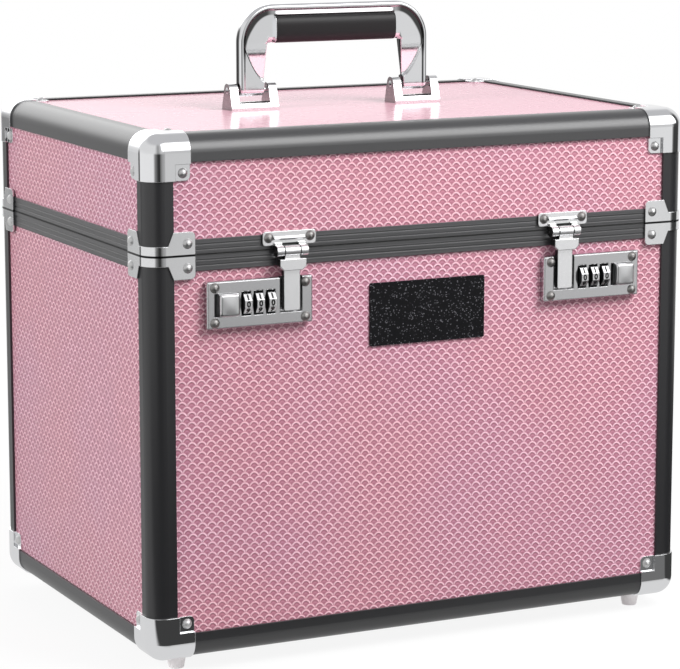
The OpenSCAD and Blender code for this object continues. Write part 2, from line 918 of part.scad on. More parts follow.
module lock_plate() {
    half = [lock_w / 2 - lock_wall, lock_h / 2 - lock_wall];
    notch_far = notch_u - notch_w / 2;
    notch_low = tongue_low - notch_end - lock_z;
    difference() {
        at_lock() difference() {
            plate_body();
            difference() {
                block([-half.x, plate_y + lock_wall, -half.y], [half.x, front_y + 1, half.y]);
                block([notch_far - lock_wall, plate_y, notch_low - lock_wall],
                      [notch_near + lock_wall, front_y + 2, half.y + 1]);
            }
            block([notch_far, plate_y - 1, notch_low],
                  [notch_near, front_y - case_wall, lock_h]);
            for (u = dial_places)
                block([u - window_w / 2, plate_y - 1, -window_h / 2],
                      [u + window_w / 2, plate_y + lock_wall + 1, window_h / 2]);
            block([slot_in, plate_y - 1, -slot_h / 2],
                  [slot_in + slot_w, plate_y + lock_wall + 1, slot_h / 2]);
        }
        lock_spots() rivet_hole(lock_shank);
    }
}

module lock_plate_right() {
    color(nickel) lock_plate();
}

module lock_plate_left() {
    color(nickel) on_left() lock_plate();
}

// Open case behind a lock plate, with a rib that carries the axle's outer end
module lock_case() {
    at_lock() difference() {
        union() {
            block([case_in, case_front, -case_half],
                  [case_out, case_back + case_wall, case_half]);
            for (low = [-case_half, case_half - case_wall])
                block([case_in, plate_y + lock_wall, low],
                      [case_out, case_front, low + case_wall]);
        }
        block([case_in + case_wall, case_front - 1, -case_half + case_wall],
              [rib_u, case_back, case_half - case_wall]);
        block([rib_u + lock_wall, case_front - 1, -case_half + case_wall],
              [case_out - case_wall, case_back, case_half - case_wall]);
        block([rib_u - 1, case_front - 1, -case_half + case_wall],
              [rib_u + lock_wall + 1, case_back, bar_high + button_fit]);
        translate([case_in - 1, dial_y, 0]) rotate([0, 90, 0])
            cylinder(r = axle_r + shank_fit / 2, h = rib_u + lock_wall - case_in + 2);
    }
}

module lock_case_right() {
    color(nickel) lock_case();
}

module lock_case_left() {
    color(nickel) on_left() lock_case();
}

// Axle with collars that keep the dials apart
module dial_axle() {
    collar = dial_y - plate_y - lock_wall - fit;
    gap = 2 * axle_fit;
    low = dial_shift - dial_pitch - dial_w / 2;
    at_lock() translate([0, dial_y, 0]) rotate([0, 90, 0]) {
        translate([0, 0, case_in]) cylinder(r = axle_r, h = rib_u + lock_wall - case_in);
        for (step = [0, 1])
            translate([0, 0, low + dial_w + step * dial_pitch + gap])
                cylinder(r = collar, h = dial_pitch - dial_w - 2 * gap);
    }
}

module dial_axles() {
    color(nickel) both_sides() dial_axle();
}

// Dial with ten flats for its figures, one of them to the front
module dial(place) {
    at_lock() translate([dial_places[place] - dial_w / 2, dial_y, 0]) rotate([0, 90, 0])
        difference() {
            cylinder(r = dial_r, h = dial_w, $fn = 10);
            translate([0, 0, -1]) cylinder(r = axle_r + axle_fit, h = dial_w + 2);
        }
}

module dial_right_outer() {
    color(black) dial(0);
}

module dial_right_middle() {
    color(black) dial(1);
}

module dial_right_inner() {
    color(black) dial(2);
}

module dial_left_outer() {
    color(black) on_left() dial(0);
}

module dial_left_middle() {
    color(black) on_left() dial(1);
}

module dial_left_inner() {
    color(black) on_left() dial(2);
}

// Button, the stem behind it and the bolt bar under the dials; start is its inner end
module button(start) {
    half = slot_h / 2 - button_fit;
    out = plate_y - button_proud;
    inside = case_front - button_fit;
    depth = [works_y - 2, works_y + 2];
    stem = start + button_w / 2 - stem_w / 2;
    at_lock() {
        translate([start, 0, 0]) along_x(button_w) difference() {
            translate([out, -half]) square([inside - out, 2 * half]);
            for (turn = [0, 1]) mirror([0, turn])
                translate([out, -half]) round_off(button_edge_r);
        }
        block([stem, inside - lock_wall / 2, bar_low], [stem + stem_w, depth.y, 3]);
        block([case_in + case_wall + button_travel + 2 * button_fit, depth.x, bar_low],
              [stem + stem_w, depth.y, bar_high]);
    }
}

right_start = slot_in + slot_w - button_w - button_fit;
left_start = slot_in + button_fit;

module button_right() {
    color(nickel) button(right_start);
}

module button_left() {
    color(nickel) on_left() button(left_start);
}

// Bent leaf spring between two upright faces
module leaf_spring(from, to) {
    strip = from < to ? 0.4 : -0.4;
    half = 2.4;
    at_lock() translate([0, 0, -2]) linear_extrude(4) translate([0, works_y + 0.4])
        polygon([[from, -half], [from + strip, -half], [to, 0], [from + strip, half],
                 [from, half], [to - 2 * strip, 0]]);
}

module button_spring_right() {
    stem = right_start + button_w / 2 - stem_w / 2;
    color(nickel) leaf_spring(rib_u + lock_wall, stem);
}

module button_spring_left() {
    stem = left_start + button_w / 2 + stem_w / 2;
    color(nickel) on_left() leaf_spring(case_out - case_wall, stem);
}

// Lining inside the walls, with room for the edges' cores
module lining_box(low, high) {
    span = [x_out - panel_in, y_out - panel_in];
    open = [x_out - lining_in, y_out - lining_in];
    difference() {
        block([-span.x, -span.y, low], [span.x, span.y, high]);
        translate([0, 0, -big]) four_corners()
            block([-x_out, -y_out, 0],
                  [-x_out + edge_core + fit, -y_out + edge_core + fit, 2 * big]);
        block([-open.x, -open.y, low - 1], [open.x, open.y, high + 1]);
    }
}

// Sheet of lining on the bottom or the ceiling
module lining_floor(low) {
    span = [x_out - edge_core - fit, y_out - edge_core - fit];
    block([-span.x, -span.y, low], [span.x, span.y, low + lining_t]);
}

module base_lining() {
    color(black) difference() {
        union() {
            lining_box(z_low + edge_core + fit, z_split - base_rail_h - fit);
            lining_floor(z_low + panel_in);
        }
        both_sides() case_room(2 * fit);
    }
}

module lid_lining() {
    color(black) difference() {
        union() {
            lining_box(z_split + lip_h + 1, z_top - edge_core - fit);
            lining_floor(lid_ceiling - lining_t);
        }
        both_sides() translate([bracket_x, handle_y, lid_ceiling])
            cube([hb_w + 1, hb_d + 1, 2 * lining_t + 2], center = true);
    }
}

module tray_ledges() {
    wall = x_out - lining_in;
    color(black) both_sides()
        block([wall - ledge_w, -tray_y, tray_low - ledge_h], [wall, tray_y, tray_low]);
}

module tray() {
    color(black) difference() {
        block([-tray_x, -tray_y, tray_low], [tray_x, tray_y, tray_low + tray_h]);
        block([-tray_x + tray_wall, -tray_y + tray_wall, tray_low + tray_wall],
              [tray_x - tray_wall, tray_y - tray_wall, tray_low + tray_h + 1]);
    }
}

// Long carrying board with a hand hole, and a cross board in the front half
module tray_dividers() {
    long = tray_x - tray_wall;
    floor = tray_low + tray_wall;
    rim = tray_h - tray_wall;
    hand_up = rim + board_up - hand_h;
    color(black) {
        translate([0, tray_wall / 2, floor]) rotate([90, 0, 0]) linear_extrude(tray_wall)
            difference() {
                translate([-long, 0]) square([2 * long, rim + board_up]);
                for (turn = [0, 1]) mirror([turn, 0])
                    translate([hand_w / 2 + board_up, rim]) square(big);
                translate([0, hand_up]) round_rect(hand_w, hand_h, tab_r);
            }
        block([-tray_wall / 2, -tray_y + tray_wall, floor],
              [tray_wall / 2, -tray_wall / 2, floor + hand_up - hand_h / 2 - tray_wall]);
    }
}

// Knuckle along X about a pin, between two places
module knuckle(radius, from, to) {
    translate([from, 0, 0]) rotate([0, 90, 0]) cylinder(r = radius, h = to - from);
}

module at_hinge() {
    both_sides() translate([hinge_x, hinge_y, hinge_z]) children();
}

// Flat leaf on the back rail; way is 1 above the pin and -1 below it
module leaf(way) {
    near = knuckle_r - knuckle_clear;
    low = min(way * near, way * leaf_h);
    back = -knuckle_r - knuckle_clear;
    pad = way > 0 ? lid_rail_h : base_rail_h;
    pad_low = min(way * (pad + 1), way * leaf_h);
    translate([-leaf_w / 2, back - leaf_t, low]) cube([leaf_w, leaf_t, leaf_h - near]);
    translate([-leaf_w / 2, back - leaf_t - wall_recess + rail_recess, pad_low])
        cube([leaf_w, leaf_t, leaf_h - pad - 1]);
}

// Web that joins a knuckle to its leaf
module leaf_web(way, from, to) {
    back = -knuckle_r - knuckle_clear;
    edge = knuckle_r + 1;
    bottom = way > 0 ? hinge_pin_r : -edge;
    translate([from, back - leaf_t, bottom]) cube([to - from, leaf_t - back, edge - hinge_pin_r]);
}

module hinge_base_leaves() {
    inner = middle_w / 2 + pin_fit + 0.3;
    color(nickel) difference() {
        at_hinge() difference() {
            union() {
                leaf(-1);
                for (turn = [0, 1]) mirror([turn, 0, 0]) {
                    knuckle(knuckle_r, inner, leaf_w / 2);
                    leaf_web(-1, inner, leaf_w / 2);
                }
            }
            knuckle(hinge_pin_r + shank_fit / 2, -leaf_w, leaf_w);
        }
        hinge_spots(-1) rivet_hole(hinge_shank);
    }
}

module hinge_lid_leaves() {
    half = middle_w / 2;
    inset = 1;
    root = (hinge_pin_r + knuckle_r) / 2;
    color(nickel) difference() {
        at_hinge() difference() {
            union() {
                leaf(1);
                knuckle(knuckle_r, -half, half);
                leaf_web(1, -half, half);
                rotate([lid_open - stop_lean, 0, 0])
                    block([inset - half, -stop_t / 2, -stop_len],
                          [half - inset, stop_t / 2, -root]);
            }
            knuckle(hinge_pin_r + pin_fit, -leaf_w, leaf_w);
        }
        hinge_spots(1) rivet_hole(hinge_shank);
    }
}

module hinge_pins() {
    color(nickel) at_hinge() knuckle(hinge_pin_r, -leaf_w / 2, leaf_w / 2);
}

module at_hasp() {
    translate([hasp_x, hasp_y, hasp_z]) children();
}

hasp_half = hasp_eye_w / 2 + hasp_side_fit + hasp_ear_w;

// Plate on the lid's rail with the two outer knuckles of a hasp
module hasp_plate() {
    back = rail_front_y - hasp_y;
    low = hasp_plate_up + hasp_drop;
    rib = hasp_rivet_x - head_r - 2 * fit;
    at_hasp() difference() {
        union() {
            translate([0, back, low + hasp_plate_h / 2]) face_front()
                linear_extrude(hasp_plate_t) round_rect(hasp_plate_w, hasp_plate_h, 2);
            translate([0, back - hasp_plate_t, low + hasp_plate_h / 2])
                knuckle(hasp_rib_r, -rib, rib);
            for (turn = [0, 1]) mirror([turn, 0, 0]) {
                knuckle(hasp_knuckle_r, hasp_eye_w / 2 + hasp_side_fit, hasp_half);
                block([hasp_eye_w / 2 + hasp_side_fit, back - 2 * hasp_plate_t,
                       hasp_drop + lid_gap], [hasp_half, back, low + hasp_plate_t]);
            }
        }
        knuckle(hasp_pin_r + shank_fit / 2, -hasp_half - 1, hasp_half + 1);
    }
}

module hasp_plates() {
    color(nickel) difference() {
        both_sides() hasp_plate();
        hasp_spots() rivet_hole(hasp_shank);
    }
}

module hasp_pins() {
    color(nickel) both_sides() at_hasp() knuckle(hasp_pin_r, -hasp_half, hasp_half);
}

// Front view of a hasp's shoulder, its lower corners cut
module shoulder_outline() {
    half = hasp_shoulder_w / 2;
    low = half - hasp_shoulder_cut;
    polygon([[-low, 0], [low, 0], [half, hasp_shoulder_cut], [half, hasp_shoulder_h],
             [-half, hasp_shoulder_h], [-half, hasp_shoulder_cut]]);
}

// Hasp: an eye on the pin, a shoulder below the closing line and a long tongue
module hasp() {
    shoulder_high = -hasp_knuckle_r - 1.4;
    shoulder_low = shoulder_high - hasp_shoulder_h;
    front = -hasp_knuckle_r;
    back = rail_front_y - hasp_y - hasp_clear - 2;
    tongue = tongue_front - hasp_y;
    end = tongue_low - hasp_z;
    at_hasp() difference() {
        union() {
            knuckle(hasp_knuckle_r, -hasp_eye_w / 2, hasp_eye_w / 2);
            block([-hasp_eye_w / 2, front + hasp_neck_in, shoulder_high - 1],
                  [hasp_eye_w / 2, back, 0]);
            translate([0, back, shoulder_low]) face_front()
                linear_extrude(back - front) shoulder_outline();
            translate([0, tongue + tongue_t, (end + shoulder_low) / 2 + 1]) face_front()
                linear_extrude(tongue_t)
                    round_rect(tongue_w, shoulder_low - end + 2, 1);
        }
        knuckle(hasp_pin_r + pin_fit, -hasp_half, hasp_half);
    }
}

module hasp_right() {
    color(nickel) hasp();
}

module hasp_left() {
    color(nickel) on_left() hasp();
}

// Side view of a handle bracket: a wide foot that narrows to a round top
module cheek_outline() {
    difference() {
        union() {
            polygon([[-hb_d / 2, 0], [hb_d / 2, 0], [hb_d / 2, hb_wall],
                     [cheek_r, pivot_h], [-cheek_r, pivot_h], [-hb_d / 2, hb_wall]]);
            translate([0, pivot_h]) circle(cheek_r);
        }
        translate([0, pivot_h]) circle(handle_pin_r + shank_fit / 2);
    }
}

module bracket_hollow() {
    inner = hb_d / 2 - 2 * hb_wall;
    translate([-hb_d, hb_bar_h]) square([2 * hb_d, big]);
    translate([-inner, hb_wall]) square([2 * inner, hb_bar_h]);
}

module handle_brackets() {
    room = hb_w - 2 * cheek_t;
    color(chrome) difference() {
        both_sides() translate([bracket_x - hb_w / 2, handle_y, panel_z]) difference() {
            along_x(hb_w) cheek_outline();
            translate([cheek_t, 0, 0]) along_x(room) bracket_hollow();
        }
        handle_screw_spots() cylinder(r = screw_r + shank_fit, h = pivot_h / 2, center = true);
    }
}

module handle_screw_spots() {
    for (side = [-1, 1], u = [-1, 1])
        translate([side * bracket_x + u * hb_screw_x / 2, handle_y, panel_z]) children();
}

module handle_pins() {
    color(chrome) both_sides() translate([bracket_x, handle_y, pivot_z])
        knuckle(handle_pin_r, -hb_w / 2, hb_w / 2);
}

module handle_screws() {
    color(nickel) handle_screw_spots() {
        translate([0, 0, -panel_t - backing_t])
            cylinder(r = screw_r, h = panel_t + backing_t + hb_wall);
        translate([0, 0, -panel_t - backing_t - screw_head_h])
            cylinder(r = screw_head_r, h = screw_head_h);
    }
}

module handle_backing_plates() {
    color(nickel) difference() {
        both_sides() translate([bracket_x, handle_y, lid_ceiling - backing_t / 2])
            cube([hb_w - 2, hb_d - 2, backing_t], center = true);
        handle_screw_spots() cylinder(r = screw_r + shank_fit, h = 4 * panel_t, center = true);
    }
}

// Front view of the handle about its pivots
module bail_outline() {
    half = handle_w / 2;
    shoulder = handle_h - top_bar - grip_h;
    difference() {
        translate([-half, 0]) square([handle_w, handle_h]);
        for (turn = [0, 1]) mirror([turn, 0])
            translate([-half, handle_h]) mirror([0, 1]) round_off(handle_r);
        polygon([[-leg_in - leg_lean, -1], [leg_in + leg_lean, -1],
                 [leg_in - leg_lean, shoulder], [-leg_in + leg_lean, shoulder]]);
        translate([-grip_w / 2 - fit, shoulder - 1])
            square([grip_w + 2 * fit, grip_h + 1]);
    }
}

// Hollow on a leg's face: inside the rim and above a slanted line
module bail_hollow() {
    outer = handle_w / 2 - rim_w;
    high = handle_h - top_bar;
    difference() {
        polygon([[leg_in - 3, handle_h * 0.1], [outer, handle_h * 0.47], [outer, high],
                 [grip_w / 2 - 1, high], [grip_w / 2 - 1, handle_h * 0.3]]);
        translate([outer, high]) rotate(180) round_off(handle_r - rim_w);
    }
}

// Socket that takes one end of the grip, beside its leg
module grip_socket() {
    start = grip_w / 2 + fit;
    translate([start, 0, handle_h - top_bar - grip_h / 2]) along_x(leg_in - start)
        round_rect(grip_d - 2 * fit, grip_h - 2 * fit, grip_r);
}

module handle_bail() {
    color(chrome) translate([0, handle_y, pivot_z]) difference() {
        union() {
            difference() {
                translate([0, -handle_t / 2, 0]) along_y(handle_t) bail_outline();
                both_sides() for (face = [-handle_t / 2 - 1, handle_t / 2 - rim_h])
                    translate([0, face, 0]) along_y(rim_h + 1) bail_hollow();
            }
            both_sides() {
                knuckle(handle_t / 2, leg_in + leg_lean, handle_w / 2);
                grip_socket();
            }
        }
        knuckle(handle_pin_r + pin_fit, -handle_w, handle_w);
    }
}

module handle_grip() {
    low = pivot_z + handle_h - top_bar - grip_h;
    color(black) translate([-grip_w / 2, handle_y, low + grip_h / 2])
        along_x(grip_w) round_rect(grip_d, grip_h, grip_r);
}

base_front_panel();
base_back_panel();
base_left_panel();
base_right_panel();
base_bottom_panel();
base_bottom_edges();
base_corner_posts();
base_closing_rails();
base_corner_caps();
base_corner_brackets();
base_rivets();
feet();
foot_screws();
badge_plate();
lock_plate_left();
lock_plate_right();
lock_case_left();
lock_case_right();
dial_axles();
button_spring_left();
button_spring_right();
base_lining();
tray_ledges();
hinge_base_leaves();
hinge_pins();
lid_top_panel();
lid_front_panel();
lid_back_panel();
lid_left_panel();
lid_right_panel();
lid_top_edges();
lid_corner_posts();
lid_closing_rails();
lid_corner_caps();
lid_corner_brackets();
lid_rivets();
lid_lining();
handle_brackets();
handle_pins();
handle_screws();
handle_backing_plates();
hasp_plates();
hasp_pins();
hinge_lid_leaves();
handle_bail();
handle_grip();
hasp_left();
hasp_right();
button_left();
button_right();
dial_left_outer();
dial_left_middle();
dial_left_inner();
dial_right_inner();
dial_right_middle();
dial_right_outer();
tray();
tray_dividers();
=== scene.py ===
# %% [markdown]
# # A grooming box, dressed for its portrait
#
# The box was built in CAD, so every hinge, rivet and dial is already in its place. Here the solids
# get their surfaces: embossed pink laminate, dark anodised edges, chrome, nickel and glitter. A few
# pieces have softer curves than the solids. The handle and its grip are worked out again as smooth
# surfaces and replace their solids, and the lock buttons get smooth caps.

# %% Load the frame
import json
import math

import bpy
import numpy as np
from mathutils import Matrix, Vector


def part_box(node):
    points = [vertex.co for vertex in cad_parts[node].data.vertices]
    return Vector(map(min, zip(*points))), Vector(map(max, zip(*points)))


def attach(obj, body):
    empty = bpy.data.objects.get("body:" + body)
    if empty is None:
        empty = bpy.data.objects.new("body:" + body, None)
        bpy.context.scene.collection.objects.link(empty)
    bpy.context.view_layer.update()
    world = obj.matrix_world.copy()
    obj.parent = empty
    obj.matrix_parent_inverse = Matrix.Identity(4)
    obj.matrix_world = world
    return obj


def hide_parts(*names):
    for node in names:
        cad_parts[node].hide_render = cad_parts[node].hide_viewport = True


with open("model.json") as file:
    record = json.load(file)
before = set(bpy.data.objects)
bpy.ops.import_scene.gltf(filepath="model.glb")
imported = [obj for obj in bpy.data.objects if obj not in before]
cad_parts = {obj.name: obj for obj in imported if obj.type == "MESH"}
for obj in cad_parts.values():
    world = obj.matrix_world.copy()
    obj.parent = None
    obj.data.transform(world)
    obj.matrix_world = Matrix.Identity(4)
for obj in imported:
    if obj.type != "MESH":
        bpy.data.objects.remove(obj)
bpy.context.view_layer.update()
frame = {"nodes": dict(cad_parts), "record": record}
nodes = frame["nodes"]
MM = 0.001


# %% Read places in millimetres
def mm(corners):
    """The lowest and highest corner of a box as arrays in millimetres."""
    return [np.array(corner) / MM for corner in corners]


RAIL_GAP = 0.15  # the lid's rails stop this far above the line where lid and base meet
CLOSING = mm(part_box("lid_closing_rails"))[0][2] - RAIL_GAP
print("lid and base meet at", round(CLOSING, 2), "mm")

# %% [markdown]
# ## Writing materials as sums
#
# A finish is a recipe of nodes. Wiring them one by one hides the idea, so a small class wraps a
# socket and lets Python's operators add the Math nodes: `1 - rim * 0.5` reads like the formula.
# Everything that isn't plain maths comes from one method that makes any node.


# %% A value that can be added and multiplied
class Value:
    """What one node gives. Operators on it add Math nodes and give the result's Value."""

    def __init__(self, recipe, socket):
        self.recipe, self.socket = recipe, socket

    def _maths(self, operation, *others):
        return self.recipe.maths(operation, self, *others)

    def __add__(self, other):
        return self._maths("ADD", other)

    def __sub__(self, other):
        return self._maths("SUBTRACT", other)

    def __rsub__(self, other):
        return self.recipe.maths("SUBTRACT", other, self)

    def __mul__(self, other):
        return self._maths("MULTIPLY", other)

    def __truediv__(self, other):
        return self._maths("DIVIDE", other)

    def __rtruediv__(self, other):
        return self.recipe.maths("DIVIDE", other, self)

    def __pow__(self, other):
        return self._maths("POWER", other)

    def __mod__(self, other):
        return self._maths("FLOORED_MODULO", other)

    def __neg__(self):
        return self * -1.0

    def __abs__(self):
        return self._maths("ABSOLUTE")

    def floor(self):
        return self._maths("FLOOR")

    __radd__ = __add__
    __rmul__ = __mul__


# %% A recipe of nodes
class Recipe:
    """Adds nodes to one node tree."""

    def __init__(self, tree):
        self.tree = tree
        tree.nodes.clear()

    def node(self, kind, settings=None, inputs=None, output=0):
        """Makes any node: its settings first, then the values or links of its sockets."""
        made = self.tree.nodes.new(kind)
        for name, value in (settings or {}).items():
            if name == "stops":
                ramp = made.color_ramp
                while len(ramp.elements) < len(value):
                    ramp.elements.new(0.5)
                for element, (place, colour) in zip(ramp.elements, value):
                    element.position, element.color = place, (*colour, 1.0)
            else:
                setattr(made, name, value)
        for name, value in (inputs or {}).items():
            self.join(made.inputs[name], value)
        return Value(self, made.outputs[output]) if len(made.outputs) else None

    def join(self, socket, value):
        """Links a Value to a socket, or sets a plain number, colour or vector on it."""
        if isinstance(value, Value):
            self.tree.links.new(value.socket, socket)
        elif isinstance(value, (int, float)):
            socket.default_value = value
        elif len(value) == 3 and len(socket.default_value) == 4:
            socket.default_value = (*value, 1.0)
        else:
            socket.default_value = value

    def maths(self, operation, *values):
        return self.node("ShaderNodeMath", {"operation": operation}, dict(enumerate(values)))

    def blend(self, share, first, second):
        """A colour between two: the first where share is 0, the second where it is 1."""
        return self.node("ShaderNodeMix", {"data_type": "RGBA"}, {0: share, 6: first, 7: second}, 2)

    def step(self, value, low, high):
        """0 below low, 1 above high, and a smooth rise between."""
        return self.node("ShaderNodeMapRange", {"interpolation_type": "SMOOTHSTEP"},
                         {0: value, 1: low, 2: high, 3: 0.0, 4: 1.0})

    def split(self, vector):
        """x, y and z of a vector."""
        made = self.node("ShaderNodeSeparateXYZ", inputs={0: vector}).socket.node
        return [Value(self, socket) for socket in made.outputs]


# %% A material with its place in millimetres
finishes = {}


class Finish(Recipe):
    """A Principled material, kept in finishes under its name. Numbers that are the same all over
    are set on its sockets."""

    def __init__(self, name, **constants):
        material = finishes[name] = bpy.data.materials.new(name)
        material.use_nodes = True
        super().__init__(material.node_tree)
        self.shader = self.tree.nodes.new("ShaderNodeBsdfPrincipled")
        out = self.tree.nodes.new("ShaderNodeOutputMaterial")
        self.tree.links.new(self.shader.outputs[0], out.inputs[0])
        for socket, value in constants.items():
            self.feed(socket.replace("_", " "), value)
        self.where = self.node("ShaderNodeTexCoord", output=3)

    def feed(self, socket, value):
        self.join(self.shader.inputs[socket], value)

    def axes(self):
        """x, y and z of the surface in millimetres."""
        return self.split(self.node("ShaderNodeVectorMath", {"operation": "SCALE"},
                                    {0: self.where, "Scale": 1000.0}))

    def sideways(self, low, high):
        """1 where the surface looks along x: it rises as the normal's x goes from low to high."""
        return self.step(abs(self.split(self.node("ShaderNodeTexCoord", output=1))[0]), low, high)

    def stretched(self, per_mm):
        """The place, scaled by a number for each axis, so that 1 is one period."""
        return self.node("ShaderNodeMapping", inputs={
            "Vector": self.where, "Scale": tuple(1000.0 * k for k in per_mm)})

    def noise(self, per_mm, detail=2.0, rough=0.5):
        """Soft random values from 0 to 1; per_mm is how many lumps there are in a millimetre."""
        per_mm = per_mm if isinstance(per_mm, tuple) else (per_mm,) * 3
        return self.node("ShaderNodeTexNoise", inputs={
            "Vector": self.stretched(per_mm), "Scale": 1.0, "Detail": detail, "Roughness": rough})

    def relief(self, height, depth_mm, round_mm=0.0):
        """Feeds the normal: height from 0 to 1 is depth_mm deep, and sharp edges are eased."""
        inputs = {"Height": height, "Distance": depth_mm * MM, "Strength": 1.0}
        if round_mm:
            inputs["Normal"] = self.eased(round_mm)
        self.feed("Normal", self.node("ShaderNodeBump", inputs=inputs))

    def eased(self, round_mm):
        """The normal as if edges were rounded by round_mm."""
        return self.node("ShaderNodeBevel", {"samples": 6}, {"Radius": round_mm * MM})


# %% [markdown]
# ## The laminate with its scales
#
# The walls are covered with a foil that is embossed like fish scales: rows of arches, each row half
# a step aside from the next, with a bright raised rim and a deeper pink inside. Modelling every
# arch would take millions of faces. A formula of the place gives each point its row, its distance
# from its arch's middle, and how far it lies off the arch, a low parabola. On the front and back the
# pattern runs along x, on the sides along y; one of the two never changes on a wall, so their sum
# serves all four. The lid's top has the same pink on a smooth foil.

# %% Make the laminates
ARCH_W, ROW_H = 6.4, 3.2  # one arch in millimetres
CREST, FALL, STEEP = 0.74, 0.765, 2.8  # top of the parabola in its row, its fall, and its slope


def scale_laminate():
    """off is the distance from the arch's line, side the distance from its middle, both in shares
    of a scale. The rim lies on the line and is painted lighter, partly the foil's own pale rim and
    partly a painted highlight. under and corner are painted shade next to it, under the crest and
    between the arches' feet, and own is one random value for each scale."""
    f = Finish("scale_laminate", Coat_Weight=0.12, Coat_Roughness=0.18, Specular_IOR_Level=0.35)
    x, y, z = f.axes()
    row = z / ROW_H
    index = row.floor()
    along = (x + y) / ARCH_W + (index % 2.0) * 0.5
    side = abs(along % 1.0 - 0.5) * 2.0
    off = (row - index - CREST + side * side * FALL) / (1 + side * side * STEEP) ** 0.5
    # the rim: the foil's own pale rim, made lighter still by a painted highlight
    rim = (1 - f.step(abs(off), 0.08, 0.22)) * (1 - f.step(side, 0.86, 1.0) * 0.6)
    # under and corner: painted shade under each crest and between the arches' feet
    under = f.step(-off, 0.12, 0.24) * (1 - f.step(-off, 0.26, 0.66) * 0.85)
    corner = f.step(off, 0.12, 0.26) * f.step(side, 0.40, 0.85)
    own = f.node("ShaderNodeTexWhiteNoise", {"noise_dimensions": "2D"}, {
        0: f.node("ShaderNodeCombineXYZ", inputs={0: along.floor(), 1: index})})
    drift = f.step(f.noise(0.009, 2.0), 0.40, 0.70)
    middle = f.blend(drift, (0.630, 0.282, 0.348), (0.600, 0.284, 0.380))
    edge = f.blend(drift, (0.960, 0.595, 0.672), (0.935, 0.605, 0.712))
    dark = (under + corner * 0.8) * (0.75 + own * 0.25)
    colour = f.blend(dark, middle, (0.430, 0.158, 0.218))
    f.feed("Base Color", f.blend(rim * (0.75 + own * 0.25), colour, edge))
    f.feed("Roughness", 0.38 - rim * 0.14 + own * 0.06)
    f.relief(rim * (0.8 + own * 0.2), 0.42)


def smooth_laminate():
    f = Finish("smooth_laminate", Coat_Weight=0.22, Coat_Roughness=0.08, Specular_IOR_Level=0.3)
    cloud = f.step(f.noise(0.012, 3.0), 0.35, 0.7)
    f.feed("Base Color", f.blend(cloud, (0.555, 0.282, 0.348), (0.565, 0.292, 0.358)))
    f.feed("Roughness", 0.24 + f.noise(0.05) * 0.06)
    f.relief(f.noise(0.03, 1.0), 0.003)


scale_laminate()
smooth_laminate()
print("laminates:", ", ".join(finishes))


# %% [markdown]
# ## Metals
#
# The edges are aluminium, blasted and anodised nearly black. The posts and the bottom edges are
# copies of the same finish that reflect less than the top edges: painted shade on one alloy. The
# closing rails are drawn from the same alloy and keep fine lengthwise lines. Many finishes need only
# one noise, which is grain, brush mark or scuff at once, so one function makes them all from a row
# of numbers.

# %% Make the edges and rails
ANODISED = (0.011, 0.011, 0.012), (0.020, 0.020, 0.022)
DRAWN = (0.012, 0.012, 0.013), (0.060, 0.060, 0.063)


def grained(name, grain, colours, rough, depth_mm=0.0, round_mm=0.0, **constants):
    """One noise gives colour, roughness and relief. grain is what Finish.noise takes, and rough is
    the least roughness and what the noise adds to it."""
    f = Finish(name, **constants)
    lumps = f.noise(*grain)
    f.feed("Base Color", f.blend(lumps, *colours))
    f.feed("Roughness", rough[0] + lumps * rough[1])
    if depth_mm:
        f.relief(lumps, depth_mm, round_mm)
    elif round_mm:
        f.feed("Normal", f.eased(round_mm))


def closing_line(f, half, end):
    """Mask of the painted shade where lid and base meet: 1 up to half from that line, and 0 beyond
    end, in millimetres.
    """
    return 1 - f.step(abs(f.axes()[2] - CLOSING), half, end)


def rail_aluminium():
    """As the edges, with lengthwise draw lines and a painted shade line where lid and base meet,
    wider than the real gap.
    """
    f = Finish("rail_aluminium", IOR=1.95)
    lines = f.noise((0.003, 0.003, 1.6), 3.0, 0.7)
    # painted shade in the gap between lid and base
    shut = closing_line(f, 0.35, 0.75)
    colour = f.blend(f.step(lines, 0.30, 0.70), *DRAWN)
    f.feed("Base Color", f.blend(shut, colour, (0.003, 0.003, 0.003)))
    f.feed("Roughness", 0.26 + lines * 0.12 + shut * 0.4)
    f.relief(lines, 0.03, 0.35)


# posts and bottom edges get a lower IOR than the top edges: shaded copies of one alloy, painted
# shade
for name, shine in (("edge_aluminium", 2.1), ("post_aluminium", 1.66), ("bottom_aluminium", 1.75)):
    grained(name, (2.2, 2.0), ANODISED, (0.28, 0.08), 0.010, 0.35, IOR=shine)
rail_aluminium()
print(len(finishes), "finishes with the aluminium")


# %% [markdown]
# The corner caps, the handle and its brackets are chromed: almost a mirror, so what they show is
# the room. The sides of some parts are painted dark, a painted dark reflection, and the direction
# of the surface tells them apart. Pressed sheet has no razor edges, so each metal eases its edges by
# a few tenths of a millimetre in the shading.

# %% Make the chromed metals
def chrome_steel():
    f = Finish("chrome_steel", Metallic=1.0)
    smear = f.noise(0.07, 4.0, 0.6)
    f.feed("Base Color", f.blend(smear, (0.86, 0.87, 0.89), (0.91, 0.91, 0.92)))
    f.feed("Roughness", 0.045 + f.step(smear, 0.45, 0.75) * 0.05)
    f.feed("Normal", f.eased(0.45))


def bail_chrome():
    """Chrome with a painted dark reflection on the legs' sides and in the groove inside the rim."""
    f = Finish("bail_chrome", Metallic=1.0)
    smear = f.noise(0.07, 4.0, 0.6)
    bright = f.blend(smear, (0.88, 0.89, 0.91), (0.92, 0.92, 0.93))
    groove = f.node("ShaderNodeAttribute", {"attribute_name": "groove"}, output=2)
    # painted dark reflection on the legs' sides and in the groove
    painted_dark_reflection = f.maths("MAXIMUM", f.sideways(0.86, 0.96), groove)
    f.feed("Base Color", f.blend(painted_dark_reflection, bright, (0.08, 0.08, 0.08)))
    f.feed("Roughness", 0.045 + f.step(smear, 0.45, 0.75) * 0.04)


